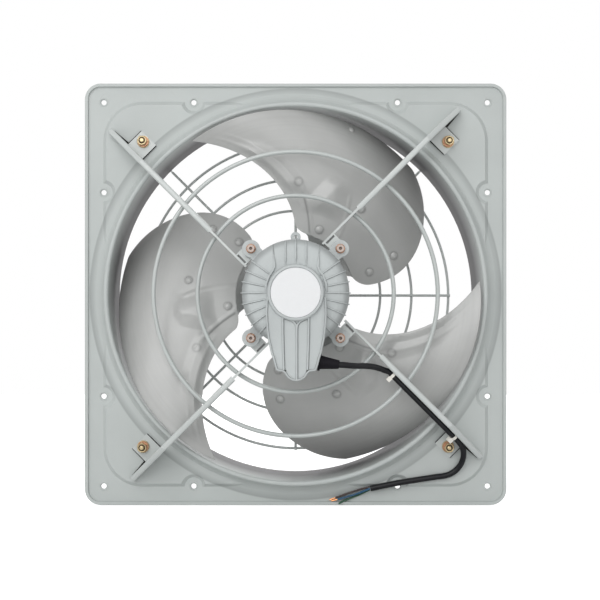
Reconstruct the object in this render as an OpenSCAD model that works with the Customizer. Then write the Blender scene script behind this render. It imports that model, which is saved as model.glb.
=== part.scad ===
// Industrial wall exhaust fan with a square pressed frame, seen from its motor side.
// Row frame: X to the right, Y into the wall, Z up. The origin is on the fan axis,
// in the plane of the frame's wall face.
// Each piece is drawn lying on its back: x to the right, y up along the wall and
// z out of the wall towards the motor side. upright() then stands it up.

/* [Frame plate] */
// Width and height of the square frame
frame_w = 480; // [440:5:520]
// Thickness of the pressed steel sheet
sheet = 1.5; // [1.2:0.1:2]
// Outer corner radius of the frame
frame_corner_r = 18; // [10:1:24]
// Width of the raised rim along the outer edge
rim_w = 4.6; // [3:0.1:8]
// Height of the raised rim above the wall face
rim_h = 4.2; // [3:0.1:7]
// Width of the flat border between the frame's edge and the panel's foot
border_w = 19.5; // [16:0.5:22]
// Corner radius of the raised panel
panel_corner_r = 46; // [38:1:52]
// Rise of the panel above the frame's border
panel_rise = 4; // [3:0.2:6]
// Run of the sloping step around the panel
panel_slope = 4; // [3:0.2:5]

/* [Bell mouth] */
// Distance of the throat's wall from the frame's edge
throat_edge = 30; // [28:0.5:33]
// Radius of the rounded lip at the mouth's crest
lip_r = 2.8; // [2.4:0.1:4]
// Radius of the hollow flare between the lip and the frame
flare_r = 18.2; // [14:0.2:19]
// Reach of the throat behind the wall face
throat_reach = 57; // [48:1:62]

/* [Fixing holes] */
// Diameter of the twelve fixing holes
hole_d = 7; // [5:0.1:8]
// Distance of the hole rows from the frame's edge
hole_edge = 21.5; // [19:0.5:25]
// Spacing of the two holes in the middle of each side
side_pitch = 232; // [180:1:240]
// Radius of the notch that the panel leaves round each side hole
notch_r = 8.5; // [7:0.5:10]

/* [Carrier arms] */
// Thickness of the arm's sheet
arm_sheet = 2.4; // [2:0.1:3]
// Distance of the arm's web from the diagonal that its bolts lie on
arm_offset = 17.4; // [15:0.1:19]
// Height of the arm's front edge above the wall face
arm_front = 52; // [48:1:56]
// Depth of the web from its front edge to its rear edge
arm_depth = 18; // [16:0.5:19]
// Distance of the arm's inner end from the fan axis
arm_in = 59; // [59:0.5:60]
// Reach of the arm's tip past the foot bolt
tip_reach = 34; // [26:0.5:38]
// Distance past the throat's wall at which the front edge starts to slope down
shoulder_gap = 12; // [6:0.5:18]
// Height of the arm's tip above the panel
tip_h = 9; // [6:0.5:14]
// Width of the rolled bead along the front edge
bead_w = 6.4; // [5:0.1:8]
// Depth of the rolled bead
bead_h = 4.5; // [3.5:0.1:5]
// Distance from the fan axis at which the bead starts
bead_in = 114; // [100:1:130]
// Distance of the foot bolt from the foot of the bell mouth
foot_gap = 11.2; // [10:0.2:16]
// Length of the foot tab along the arm
foot_len = 23; // [20:0.5:26]
// Reach of the two tabs beyond the bolts' diagonal
tab_side = 7.6; // [7:0.1:10]

/* [Wire rings and guard] */
// Wire diameter of the two front rings
front_wire = 4.8; // [4:0.1:5.5]
// Centre-line radius of the inner front ring
front_ring_in_r = 108.4; // [100:0.2:112]
// Centre-line radius of the outer front ring
front_ring_out_r = 157; // [150:0.5:165]
// Wire diameter of the outlet guard
guard_wire = 3.2; // [2.8:0.1:4]
// Depth of the guard's rings behind the wall face
guard_depth = 87; // [80:1:100]
// Distance of the guard's outermost ring from the throat's wall
guard_gap_4 = 23.4; // [18:0.2:28]
// Distance of the guard's third ring from the outermost one
guard_gap_3 = 45; // [40:0.2:50]
// Distance of the guard's second ring from the third one
guard_gap_2 = 38.2; // [34:0.2:44]
// Distance of the guard's innermost ring from the second one
guard_gap_1 = 57.4; // [50:0.2:60]
// Length of each guard leg along the throat
guard_leg_len = 20; // [12:1:30]

/* [Blades] */
// Number of blades
blades = 3; // [3:1:3]
// Clearance between the blade tips and the throat
tip_gap = 3.5; // [3:0.1:8]
// Radius of the blades' inner edge
root_r = 68.5; // [68:0.5:72]
// Thickness of the blade's sheet, along the axis
blade_sheet = 1.6; // [1.2:0.1:2]
// Height of the leading edge above the wall face at the tip
lead_tip_z = 22; // [10:1:24]
// Height of the leading edge above the wall face at the root
lead_root_z = 6; // [2:1:10]
// Depth of the trailing edge behind the wall face at the tip
trail_tip_z = 57; // [45:1:62]
// Depth of the trailing edge behind the wall face at the root
trail_root_z = 34; // [28:1:40]
// Camber of the blade at the root, along the axis
camber_root = 8; // [3:0.5:10]
// Camber of the blade at the tip, along the axis
camber_tip = 28; // [15:0.5:30]
// Angle of the first blade's leading edge at the root
lead_root_a = 90; // [86:1:94]
// Forward sweep of the leading edge from root to tip
lead_sweep = 34; // [26:1:38]
// Angle of the first blade's trailing edge at the root
trail_root_a = 8; // [4:1:14]
// Forward sweep of the trailing edge from root to tip
trail_sweep = 39; // [32:1:44]

/* [Fan hub] */
// Outer diameter of the hub boss
hub_d = 40; // [36:1:46]
// Thickness of the spider's sheet
spider_sheet = 3; // [2:0.1:4]
// Depth of the spider's flat centre behind the wall face
spider_z = 26; // [24:0.5:30]
// Radius of the spider's flat centre
spider_disc_r = 44; // [40:0.5:46]
// Radius to which the spider's wings carry the blades
wing_r = 135; // [133:1:140]
// Diameter of the rivet shanks
rivet_d = 5; // [4:0.1:5.5]

/* [Motor] */
// Outer diameter of the motor shell
shell_d = 112; // [108:0.5:112]
// Wall of the motor shell and of its end cover
shell_wall = 4; // [3:0.1:5]
// Outer diameter of the finned end cover
cover_d = 115; // [113:0.5:116]
// Height of the end cover's shoulder above the wall face
cover_shoulder = 84; // [80:0.5:88]
// Height of the end cover's face above the wall face
cover_face = 96; // [94:0.5:100]
// Thickness of each mounting ear
ear_h = 5; // [4:0.2:6]
// Radius of the mounting ears
ear_r = 9.6; // [9:0.1:11]
// Distance of the ears' bolts from the side of the finned end cover
ear_reach = 10.9; // [10:0.1:12.5]
// Length of the laminated stator and rotor
core_len = 40; // [30:1:44]
// Inner diameter of the stator
stator_bore = 60; // [56:0.5:64]
// Air gap between the stator and the rotor
air_gap = 0.4; // [0.3:0.05:0.6]
// Diameter of the shaft in its bearings
shaft_d = 15; // [13:0.5:15]
// Diameter of the shaft in the fan hub
spigot_d = 12; // [10:0.5:12]
// Outer diameter of the ball bearings
bearing_d = 35; // [34:0.5:38]
// Width of the ball bearings
bearing_w = 11; // [10:0.5:12]

/* [Terminal cover and cable] */
// Radius of the cover's round head
head_r = 30.6; // [29:0.2:31]
// Half width of the cover where its tongue starts
tongue_top = 31.6; // [31:0.1:33]
// Half width of the cover's tongue at its foot
tongue_foot = 23; // [21:0.5:26]
// Reach of the tongue's side edges below the fan axis
tongue_len = 82; // [80:0.5:86]
// Reach of the tongue's middle lobe below the side edges
lobe_len = 9; // [6:0.5:12]
// Depth of the tongue behind its front face
tongue_depth = 32; // [30:0.5:36]
// Wall of the terminal cover
cover_wall = 2; // [1.6:0.1:3]
// Height of the terminal cover's front above the wall face
tongue_front = 104; // [102:0.5:108]
// Radius of the round plate on the cover's head
label_r = 26; // [24:0.5:28]
// Outer diameter of the cable
cable_d = 6.6; // [6:0.1:6.8]
// Outer diameter of each lead
lead_d = 2.2; // [1.8:0.1:2.4]

/* [Fasteners] */
// Thread diameter of the foot bolts
foot_bolt_d = 6; // [5:0.5:6]
// Thread diameter of the motor bolts
motor_bolt_d = 5; // [4:0.5:6]

/* [Hidden] */

frame_grey = [0.72, 0.76, 0.75];
blade_grey = [0.60, 0.61, 0.60];
wire_grey = [0.66, 0.69, 0.68];
gold = [0.80, 0.66, 0.38];
steel = [0.70, 0.70, 0.72];
black = [0.08, 0.08, 0.09];

fit = 0.05;        // gap between pieces that seat on each other
slip = 0.3;        // gap of a bolt in its hole, and of a part laid on another
fine = 96;         // faces of large round shapes
mid = 48;          // faces of medium round shapes
small = 24;        // faces of small round shapes

half = frame_w / 2;
panel_w = frame_w - 2 * border_w;
corner_pitch = frame_w - 2 * hole_edge;
throat_r = half - throat_edge;
crest_z = sheet + flare_r;
crest_r = throat_r + lip_r;
foot_r = crest_r + lip_r + flare_r;
panel_top = panel_rise + sheet;
panel_run = panel_slope * panel_top / panel_rise;
tip_r = throat_r - tip_gap;
hole_row = corner_pitch / 2;
side_hole = side_pitch / 2;

foot_bolt_r = foot_r + foot_gap;
arm_out = foot_bolt_r + tip_reach;
arm_shoulder = throat_r + shoulder_gap;
guard_ring_r4 = throat_r - guard_gap_4;
guard_ring_r3 = guard_ring_r4 - guard_gap_3;
guard_ring_r2 = guard_ring_r3 - guard_gap_2;
guard_ring_r1 = guard_ring_r2 - guard_gap_1;

arm_rear = arm_front - arm_depth;
front_ring_z = arm_rear + 1.2 + front_wire / 2;
foot_in = foot_bolt_r - foot_len * 0.6;
foot_out = foot_in + foot_len;
tab_top = panel_top + arm_sheet;

foot_washer_h = 1.4;
foot_spring_h = 1.6;
foot_head_h = 4.2;
foot_nut_h = 3.2;
lug_washer_h = 1.2;
lug_head_h = 3.5;
lug_nut_h = 4;
ear_z = arm_front + fit;
cover_ear_z = ear_z + ear_h + fit;
cover_ear_h = ear_h - 1;
lug_seat = cover_ear_z + cover_ear_h;

shell_r = shell_d / 2;
motor_bolt_r = cover_d / 2 + ear_reach;
core_r = shell_r - shell_wall - fit;
shell_front = cover_ear_z;
core_mid = shell_front / 2 + 7.5;
core_z0 = core_mid - core_len / 2;
core_z1 = core_mid + core_len / 2;
shield_t = 8;
shield_boss_r = bearing_d / 2 + 4.5;
drive_bearing_z = 2 - shield_t;
end_bearing_z = core_z1 + 14;

// Points of an arc about (cx, cy), from angle a0 to a1 in n steps
function arc(cx, cy, r, a0, a1, n) =
  [for (i = [0:n]) [cx + r * cos(a0 + (a1 - a0) * i / n), cy + r * sin(a0 + (a1 - a0) * i / n)]];
function mix(a, b, t) = a + (b - a) * t;
function polar(r, a, z) = [r * cos(a), r * sin(a), z];

module upright() rotate([90, 0, 0]) children();

// Copies at the four diagonals, counted from the upper right one anticlockwise
module at_diagonals() for (k = [0:3]) rotate([0, 0, 45 + 90 * k]) children();

module ring_about_axis(r, z, wire) {
  translate([0, 0, z]) rotate_extrude($fn = fine) translate([r, 0]) circle(d = wire, $fn = small);
}

module hex_head(across, h) {
  difference() {
    intersection() {
      cylinder(d = across / cos(30), h = h, $fn = 6);
      cylinder(r1 = across * 0.5 + h, r2 = across * 0.5, h = h, $fn = mid);
    }
    translate([0, 0, h - 0.8]) cylinder(d = across * 0.42, h = 1, $fn = small);
  }
}

module washer(d, bore, h) {
  difference() {
    cylinder(d = d, h = h, $fn = mid);
    translate([0, 0, -1]) cylinder(d = bore, h = h + 2, $fn = mid);
  }
}

module hex_nut(across, bore, h) {
  difference() {
    intersection() {
      cylinder(d = across / cos(30), h = h, $fn = 6);
      cylinder(r1 = across * 0.5 + h, r2 = across * 0.5, h = h, $fn = mid);
    }
    translate([0, 0, -1]) cylinder(d = bore, h = h + 2, $fn = mid);
  }
}

// Frame plate

// Rounded square block whose four sides slope inwards by run over the height
module pad(half_w, r, h, run) {
  for (sx = [-1, 1], sy = [-1, 1])
    translate([sx * (half_w - r), sy * (half_w - r), 0]) cylinder(r1 = r, r2 = r - run, h = h, $fn = mid);
  for (a = [0, 90])
    rotate([0, 0, a]) rotate([90, 0, 0]) linear_extrude(2 * (half_w - r), center = true)
      polygon([[-half_w, 0], [half_w, 0], [half_w - run, h], [run - half_w, h]]);
}

module at_side_holes() {
  for (k = [0:3], s = [-1, 1]) rotate([0, 0, 90 * k]) translate([s * side_hole, hole_row, 0]) children();
}

module at_corner_holes() {
  for (sx = [-1, 1], sy = [-1, 1]) translate([sx * hole_row, sy * hole_row, 0]) children();
}

module raised_panel() {
  difference() {
    pad(panel_w / 2, panel_corner_r, panel_top, panel_run);
    at_side_holes() cylinder(r1 = notch_r, r2 = notch_r + panel_run, h = panel_top, $fn = mid);
  }
}

module bell_mouth() {
  rotate_extrude($fn = fine) polygon(concat(
    arc(foot_r, crest_z, flare_r, 270, 180, 8),
    arc(crest_r, crest_z, lip_r, 0, 180, 10),
    [[throat_r, -throat_reach], [throat_r + sheet, -throat_reach]],
    arc(crest_r, crest_z, lip_r - sheet, 180, 0, 8),
    arc(foot_r, crest_z, flare_r + sheet, 180, 270, 8)
  ));
}

// Everything under the middle of the bell mouth's sheet, to open the plate there
module bell_opening() {
  rotate_extrude($fn = fine) polygon(concat(
    [[0, -sheet], [0, crest_z]],
    arc(foot_r, crest_z, flare_r + sheet / 2, 180, 270, 8),
    [[foot_r, -sheet]]
  ));
}

module frame_plate() color(frame_grey) upright() {
  difference() {
    union() {
      difference() {
        union() {
          pad(half, frame_corner_r, sheet, 0);
          difference() {
            pad(half, frame_corner_r, rim_h, 0.9);
            translate([0, 0, sheet / 2]) pad(half - rim_w, frame_corner_r - rim_w, rim_h, -0.9);
          }
          raised_panel();
        }
        translate([0, 0, -sheet]) raised_panel();
        bell_opening();
      }
      bell_mouth();
    }
    at_corner_holes() translate([0, 0, -1]) cylinder(d = hole_d, h = sheet + 2, $fn = mid);
    at_side_holes() translate([0, 0, -1]) cylinder(d = hole_d, h = sheet + 2, $fn = mid);
    at_diagonals() translate([foot_bolt_r, 0, 0])
      cylinder(d = foot_bolt_d + 2 * slip, h = panel_top + 1, $fn = mid);
  }
}

// Carrier arms, drawn along x with the web on the +y side

arm_fall = arm_front - panel_top - tip_h;
arm_slope = atan(arm_fall / (arm_out - arm_shoulder));

// Bar with the bead's rounded top at z = 0, reaching down through the whole arm
module bead_section(x0, x1) {
  translate([x0, 0, 0]) rotate([90, 0, 90]) linear_extrude(x1 - x0) polygon(concat(
    [[bead_w / 2, -arm_out]],
    arc(bead_w / 2 - 2, -2, 2, 0, 90, 4),
    arc(2 - bead_w / 2, -2, 2, 90, 180, 4),
    [[-bead_w / 2, -arm_out]]
  ));
}

module arm_bead() {
  low = bead_h / cos(arm_slope);
  intersection() {
    translate([0, arm_offset, arm_front]) bead_section(bead_in, arm_out);
    translate([arm_shoulder, arm_offset, arm_front]) rotate([0, arm_slope, 0])
      bead_section(-arm_shoulder, arm_out - arm_in);
    translate([0, arm_offset + bead_w, 0]) rotate([90, 0, 0]) linear_extrude(bead_w * 2) polygon([
      [bead_in, arm_front - bead_h], [arm_shoulder - 1, arm_front - bead_h],
      [arm_out - 1, panel_top + tip_h - low], [arm_out - 1, arm_front + 1], [bead_in, arm_front + 1]
    ]);
  }
}

// Tab with a rounded end about the bolt, joined to the web
module arm_tab(r, z, t, reach) {
  translate([r, 0, z]) cylinder(r = tab_side, h = t, $fn = mid);
  translate([r - reach, 0, z]) cube([2 * reach, arm_offset, t]);
}

module carrier_arm() {
  climb_in = throat_r + 6;
  difference() {
    union() {
      translate([0, arm_offset + arm_sheet / 2, 0]) rotate([90, 0, 0]) linear_extrude(arm_sheet) polygon([
        [arm_in, arm_rear], [climb_in, arm_rear], [foot_in, panel_top + fit],
        [foot_out, panel_top + fit], [arm_out, panel_top + 3],
        [arm_out, panel_top + tip_h - 2], [arm_shoulder, arm_front - 1.5], [bead_in + 1, arm_front - 1.5],
        [bead_in + 1, arm_front], [arm_in, arm_front]
      ]);
      arm_bead();
      translate([foot_in, -tab_side, panel_top + fit])
        cube([foot_len, tab_side + arm_offset, arm_sheet - fit]);
      arm_tab(motor_bolt_r, arm_front - arm_sheet, arm_sheet, tab_side);
    }
    for (r = [front_ring_in_r, front_ring_out_r]) rotate_extrude($fn = fine)
      translate([r - front_wire / 2 - 0.1, arm_rear - 1])
        square([front_wire + 0.2, front_ring_z - arm_rear + front_wire / 2 + 1.1]);
    translate([foot_bolt_r, 0, 0]) cylinder(d = foot_bolt_d + 2 * slip, h = arm_rear, $fn = mid);
    translate([motor_bolt_r, 0, arm_rear])
      cylinder(d = motor_bolt_d + 2 * slip, h = arm_depth + 1, $fn = mid);
    translate([motor_bolt_r - 6, arm_offset - arm_sheet / 2 - 2.4, arm_rear]) cube([12, 2.3, arm_depth + 1]);
  }
}

module arm_at(k) color(frame_grey) upright() rotate([0, 0, 45 + 90 * k]) carrier_arm();
module arm_upper_right() arm_at(0);
module arm_upper_left() arm_at(1);
module arm_lower_left() arm_at(2);
module arm_lower_right() difference() {
  arm_at(3);
  upright() at_ties() cube([tie_w + 0.4, 2 * arm_offset, cable_d + 2.4 + 2 * slip], center = true);
}

// Foot fasteners: bolt through spring washer, washer, tab and panel into a thin nut

foot_washer_z = tab_top + fit;
foot_spring_z = foot_washer_z + foot_washer_h + fit;
foot_head_z = foot_spring_z + foot_spring_h + fit;

module foot_washers() color(gold) upright() at_diagonals()
  translate([foot_bolt_r, 0, foot_washer_z]) washer(foot_bolt_d * 2.3, foot_bolt_d + slip, foot_washer_h);

module foot_spring_washers() color(gold) upright() at_diagonals()
  translate([foot_bolt_r, 0, foot_spring_z]) difference() {
    washer(foot_bolt_d * 1.95, foot_bolt_d + slip, foot_spring_h);
    translate([0, -0.4, -1]) cube([foot_bolt_d * 1.5, 0.8, foot_spring_h + 2]);
  }

module foot_bolts() color(gold) upright() at_diagonals() translate([foot_bolt_r, 0, 0]) {
  translate([0, 0, foot_head_z]) hex_head(foot_bolt_d * 1.667, foot_head_h);
  translate([0, 0, 0.6]) cylinder(d = foot_bolt_d, h = foot_head_z, $fn = mid);
}

module foot_nuts() color(gold) upright() at_diagonals()
  translate([foot_bolt_r, 0, panel_rise - fit]) mirror([0, 0, 1])
    hex_nut(foot_bolt_d * 1.667, foot_bolt_d + 2 * fit, foot_nut_h);

// Front rings and outlet guard

module front_ring_inner() color(wire_grey) upright()
  ring_about_axis(front_ring_in_r, front_ring_z, front_wire);
module front_ring_outer() color(wire_grey) upright()
  ring_about_axis(front_ring_out_r, front_ring_z, front_wire);

guard_spoke_z = -guard_depth + guard_wire + fit;
guard_leg_r = throat_r + sheet + guard_wire / 2 + fit;

module rear_guard_rings() color(wire_grey) upright()
  for (r = [guard_ring_r1, guard_ring_r2, guard_ring_r3, guard_ring_r4])
    ring_about_axis(r, -guard_depth, guard_wire);

module guard_spoke(r1) {
  translate([guard_ring_r1 - guard_wire, 0, guard_spoke_z]) rotate([0, 90, 0])
    cylinder(d = guard_wire, h = r1 - guard_ring_r1 + guard_wire, $fn = small);
}

module rear_guard_spokes() color(wire_grey) upright()
  for (k = [0:3]) rotate([0, 0, 90 * k]) guard_spoke(guard_ring_r4 + guard_wire / 2);

module rear_guard_legs() color(wire_grey) upright() at_diagonals() {
  bend = 6;
  corner_z = guard_spoke_z + bend;
  guard_spoke(guard_leg_r - bend);
  translate([guard_leg_r - bend, 0, corner_z]) rotate([90, 0, 0])
    rotate([0, 0, -90]) rotate_extrude(angle = 90, $fn = mid)
      translate([bend, 0]) circle(d = guard_wire, $fn = small);
  translate([guard_leg_r, 0, corner_z])
    cylinder(d = guard_wire, h = guard_leg_len - throat_reach - corner_z, $fn = small);
}

// Motor

module ear(z, h, r, inner_r) {
  translate([0, 0, z]) {
    translate([motor_bolt_r, 0, 0]) cylinder(r = r, h = h, $fn = mid);
    translate([inner_r, -r * 0.8, 0]) cube([motor_bolt_r - inner_r, r * 1.6, h]);
  }
}

module motor_shell() color(frame_grey) upright() difference() {
  union() {
    cylinder(r = shell_r, h = shell_front - fit, $fn = fine);
    for (a = [0:15:345]) rotate([0, 0, a + 7.5])
      translate([shell_r - 1, -0.9, 4]) cube([2.4, 1.8, ear_z - 8]);
    at_diagonals() ear(ear_z, ear_h, ear_r, shell_r - 3);
  }
  translate([0, 0, -1]) cylinder(r = shell_r - shell_wall, h = shell_front + 2, $fn = fine);
  at_diagonals() translate([motor_bolt_r, 0, 0])
    cylinder(d = motor_bolt_d + 2 * slip, h = cover_face, $fn = mid);
  for (a = [0:90:270]) rotate([0, 0, a])
    translate([shell_r - 2, 0, -1]) cylinder(d = 2.5, h = 11, $fn = small);
}

fin_out = cover_d / 2 - 3;
fin_top = cover_face - cover_shoulder;

// Cast rib over the cover's shoulder, from radius r0 out to radius r1
module cover_rib(r0, r1) {
  translate([0, 0, cover_shoulder]) rotate([90, 0, 0]) linear_extrude(1.5, center = true) polygon([
    [r0, 0], [r1 + 1, 0], [r1 + 0.6, 3], [r1 - 2, 7], [r1 - 7, 11],
    [head_r + 1, fin_top + 1.8], [r0, fin_top + 1.8]
  ]);
}

module motor_end_cover() color(frame_grey) upright() difference() {
  union() {
    rotate_extrude($fn = fine) polygon(concat(
      [[0, cover_face], [head_r, cover_face]],
      arc(fin_out - 6, cover_shoulder, 9, 65, 0, 6),
      [[cover_d / 2, cover_ear_z], [0, cover_ear_z]]
    ));
    for (s = [0, 180], k = [-4:3])
      rotate([0, 0, s + 12 * k + (s == 0 ? 0 : 12)]) cover_rib(head_r + 0.4, fin_out);
    for (x = [-21.6, -10.8, 0.2, 11, 22]) translate([x, 0, 0]) rotate([0, 0, 90])
      cover_rib(sqrt(pow(head_r + 0.4, 2) - x * x), sqrt(pow(fin_out, 2) - x * x));
    for (k = [0:35]) rotate([0, 0, 10 * k + 5]) translate([cover_d / 2 - 1, -0.8, cover_ear_z + 3])
      cube([1.8, 1.6, cover_shoulder - cover_ear_z - 4]);
    at_diagonals() ear(cover_ear_z, cover_ear_h, ear_r, cover_d / 2 - 3);
    translate([0, cover_d / 2 + 3, cover_ear_z]) cylinder(r = 5.4, h = 4, $fn = mid);
    translate([-5, cover_d / 2 - 4, cover_ear_z]) cube([10, 7, 4]);
  }
  rotate_extrude($fn = fine) polygon([
    [0, cover_ear_z - 1], [cover_d / 2 - shell_wall, cover_ear_z - 1],
    [cover_d / 2 - shell_wall, cover_shoulder - 2], [head_r, cover_face - shell_wall],
    [shield_boss_r, cover_face - shell_wall], [shield_boss_r, end_bearing_z - 1],
    [bearing_d / 2 + fit, end_bearing_z - 1], [bearing_d / 2 + fit, end_bearing_z + bearing_w + 1.4],
    [0, end_bearing_z + bearing_w + 1.4]
  ]);
  at_diagonals() translate([motor_bolt_r, 0, 0])
    cylinder(d = motor_bolt_d + 2 * slip, h = cover_face, $fn = mid);
  translate([0, cover_d / 2 + 3.6, cover_ear_z - 1]) cylinder(d = 4, h = 6, $fn = small);
  for (s = [-1, 1]) translate([s * 12, 0, cover_face - 3]) cylinder(d = 3, h = 4, $fn = small);
  translate([0, 0, cover_face + fit / 2]) linear_extrude(6) cover_outline(-slip);
}

module drive_end_shield() color(frame_grey) upright() difference() {
  union() {
    translate([0, 0, -shield_t]) cylinder(r1 = shell_r - 6, r2 = shell_r, h = 5, $fn = fine);
    translate([0, 0, 5 - shield_t]) cylinder(r = shell_r, h = shield_t - 5 - fit, $fn = fine);
    translate([0, 0, -shield_t]) cylinder(r = shell_r - shell_wall - fit, h = shield_t + 3, $fn = fine);
    translate([0, 0, -shield_t]) cylinder(r = shield_boss_r, h = shield_t + 6, $fn = fine);
  }
  difference() {
    cylinder(r = shell_r - 2 * shell_wall, h = 10, $fn = fine);
    translate([0, 0, -1]) cylinder(r = shield_boss_r, h = 12, $fn = fine);
  }
  translate([0, 0, drive_bearing_z]) cylinder(d = bearing_d + 2 * fit, h = 20, $fn = fine);
  translate([0, 0, -shield_t - 1]) cylinder(d = shaft_d + 4, h = 20, $fn = mid);
  for (a = [0:90:270]) rotate([0, 0, a]) translate([shell_r - 2, 0, -shield_t - 1]) {
    cylinder(d = 3.4, h = 20, $fn = small);
    cylinder(d = shield_head_d + 0.8, h = shield_t + 1 - shield_head_z, $fn = small);
  }
}

shield_screw_d = 2.4;
shield_screw_len = 12;
shield_head_d = 5.6;
shield_head_h = 2.6;
shield_head_z = 4;

module shield_screws() color(steel) upright()
  for (a = [0:90:270]) rotate([0, 0, a]) translate([shell_r - 2, 0, 0]) {
  translate([0, 0, -shield_head_z - shield_head_h])
    cylinder(d = shield_head_d, h = shield_head_h - fit, $fn = small);
  translate([0, 0, -shield_head_z - 0.7]) cylinder(d = shield_screw_d, h = shield_screw_len, $fn = small);
}

// Motor bolts through washer, both ears and the arm's tab into a nut

module lug_washers() color(gold) upright() at_diagonals()
  translate([motor_bolt_r, 0, lug_seat + fit]) washer(motor_bolt_d * 2.2, motor_bolt_d + slip, lug_washer_h);

module lug_bolts() color(steel) upright() at_diagonals() translate([motor_bolt_r, 0, 0]) {
  translate([0, 0, lug_seat + lug_washer_h + 2 * fit]) hex_head(motor_bolt_d * 1.6, lug_head_h);
  translate([0, 0, arm_front - arm_sheet - lug_nut_h - 2])
    cylinder(d = motor_bolt_d,
      h = lug_seat + lug_washer_h + 2 * fit - arm_front + arm_sheet + lug_nut_h + 3, $fn = mid);
}

module lug_nuts() color(steel) upright() at_diagonals()
  translate([motor_bolt_r, 0, arm_front - arm_sheet - fit]) mirror([0, 0, 1])
    hex_nut(motor_bolt_d * 1.6, motor_bolt_d + 2 * fit, lug_nut_h);

// Motor inside

stator_r = stator_bore / 2;
rotor_r = stator_r - air_gap;

module stator_core() color(steel) upright() difference() {
  translate([0, 0, core_z0]) cylinder(r = core_r, h = core_len, $fn = fine);
  translate([0, 0, core_z0 - 1]) cylinder(r = stator_r, h = core_len + 2, $fn = fine);
}

module winding_head() {
  rotate_extrude($fn = fine) polygon(concat(
    [[stator_r + 3, 0]], [[core_r - 4, 0]],
    arc(core_r - 8, 6, 4, 0, 90, 4), arc(stator_r + 7, 6, 4, 90, 180, 4)
  ));
}

module stator_windings() color([0.72, 0.40, 0.20]) upright() {
  translate([0, 0, core_z1 + fit]) winding_head();
  translate([0, 0, core_z0 - fit]) mirror([0, 0, 1]) winding_head();
}

module at_bearings() for (z = [drive_bearing_z, end_bearing_z]) translate([0, 0, z + fit]) children();

ball_d = (bearing_d - shaft_d) * 0.3;
ball_track = (bearing_d + shaft_d) / 4;

module race(r_in, r_out) {
  difference() {
    cylinder(r = r_out, h = bearing_w, $fn = fine);
    translate([0, 0, -1]) cylinder(r = r_in, h = bearing_w + 2, $fn = fine);
    translate([0, 0, bearing_w / 2]) rotate_extrude($fn = fine) translate([ball_track, 0])
      circle(d = ball_d + 0.1, $fn = small);
  }
}

module bearing_outer_races() color(steel) upright()
  at_bearings() race(ball_track + ball_d * 0.3, bearing_d / 2);
module bearing_inner_races() color(steel) upright()
  at_bearings() race(shaft_d / 2 + fit, ball_track - ball_d * 0.3);

module bearing_balls() color(steel) upright() at_bearings() for (a = [0:45:315])
  rotate([0, 0, a]) translate([ball_track, 0, bearing_w / 2]) sphere(d = ball_d, $fn = small);

module bearing_cages() color(gold) upright() at_bearings() difference() {
  translate([0, 0, bearing_w / 2 - 4]) difference() {
    cylinder(r = ball_track + 0.4, h = 8, $fn = fine);
    translate([0, 0, -1]) cylinder(r = ball_track - 0.4, h = 10, $fn = fine);
  }
  for (a = [0:45:315]) rotate([0, 0, a])
    translate([ball_track, 0, bearing_w / 2]) sphere(d = ball_d + 0.2, $fn = small);
}

module wave_washer() color(steel) upright() translate([0, 0, end_bearing_z + bearing_w + 2 * fit + 0.15])
  washer(bearing_d - 1, bearing_d - 9, 0.8);

module rotor_core() color(steel) upright() difference() {
  union() {
    translate([0, 0, core_z0]) cylinder(r = rotor_r, h = core_len, $fn = fine);
    translate([0, 0, core_z0 - 6]) cylinder(r = rotor_r - 2, h = core_len + 12, $fn = fine);
  }
  translate([0, 0, core_z0 - 7]) cylinder(d = shaft_d + 2 + 2 * fit, h = core_len + 14, $fn = fine);
}

// Shaft: core seat, two bearing journals and the fan spigot with its keyway

hub_front = -spider_z + 12;
hub_rear = -spider_z - 20;
nut_h = 6;
shaft_rear = hub_rear - 2 - nut_h - 3;

module motor_shaft() color(steel) upright() difference() {
  union() {
    translate([0, 0, drive_bearing_z - 2])
      cylinder(d = shaft_d, h = end_bearing_z + bearing_w - drive_bearing_z + 2, $fn = fine);
    translate([0, 0, drive_bearing_z + bearing_w + 2 * fit])
      cylinder(d = shaft_d + 2, h = end_bearing_z - drive_bearing_z - bearing_w - 2 * fit, $fn = fine);
    translate([0, 0, shaft_rear]) cylinder(d = spigot_d, h = -shaft_rear, $fn = fine);
  }
  translate([-2, spigot_d / 2 - 2, hub_rear + 3]) cube([4, 4, 16]);
}

module shaft_key() color(steel) upright() translate([-2 + fit, spigot_d / 2 - 2 + fit, hub_rear + 3 + fit])
  cube([4 - 2 * fit, 3.6, 16 - 2 * fit]);

// Terminal cover, its contents and the round plate

tongue_top_y = -10;
tongue_back = tongue_front - tongue_depth;
lobe_r = 12.5;
groove_w = 14.6;
groove_depth = 1.1;
groove_r = groove_w * groove_w / (8 * groove_depth);

module cover_outline(inset) {
  circle(r = head_r - inset, $fn = fine);
  polygon(concat(
    [[0, 0], [head_r - inset, 0], [tongue_top - inset, tongue_top_y]],
    arc(tongue_foot - inset - 4, -tongue_len + inset + 4, 4, -5, -90, 4),
    arc(0, -tongue_len - lobe_len + lobe_r + inset, lobe_r, -20, -160, 8),
    arc(-tongue_foot + inset + 4, -tongue_len + inset + 4, 4, -90, -175, 4),
    [[-tongue_top + inset, tongue_top_y], [-head_r + inset, 0]]
  ));
}

// Shallow groove down the tongue's front, with a rounded upper end
module tongue_groove(x, top) {
  translate([x, top - groove_w / 2, tongue_front - groove_depth + groove_r]) {
    rotate([90, 0, 0]) cylinder(r = groove_r, h = tongue_len + lobe_len, $fn = fine);
    sphere(r = groove_r, $fn = fine);
  }
}

// Room kept free for the finned cover, behind the terminal cover
module behind_cover() cylinder(d = cover_d + 2.4, h = cover_face + fit, $fn = fine);

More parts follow.
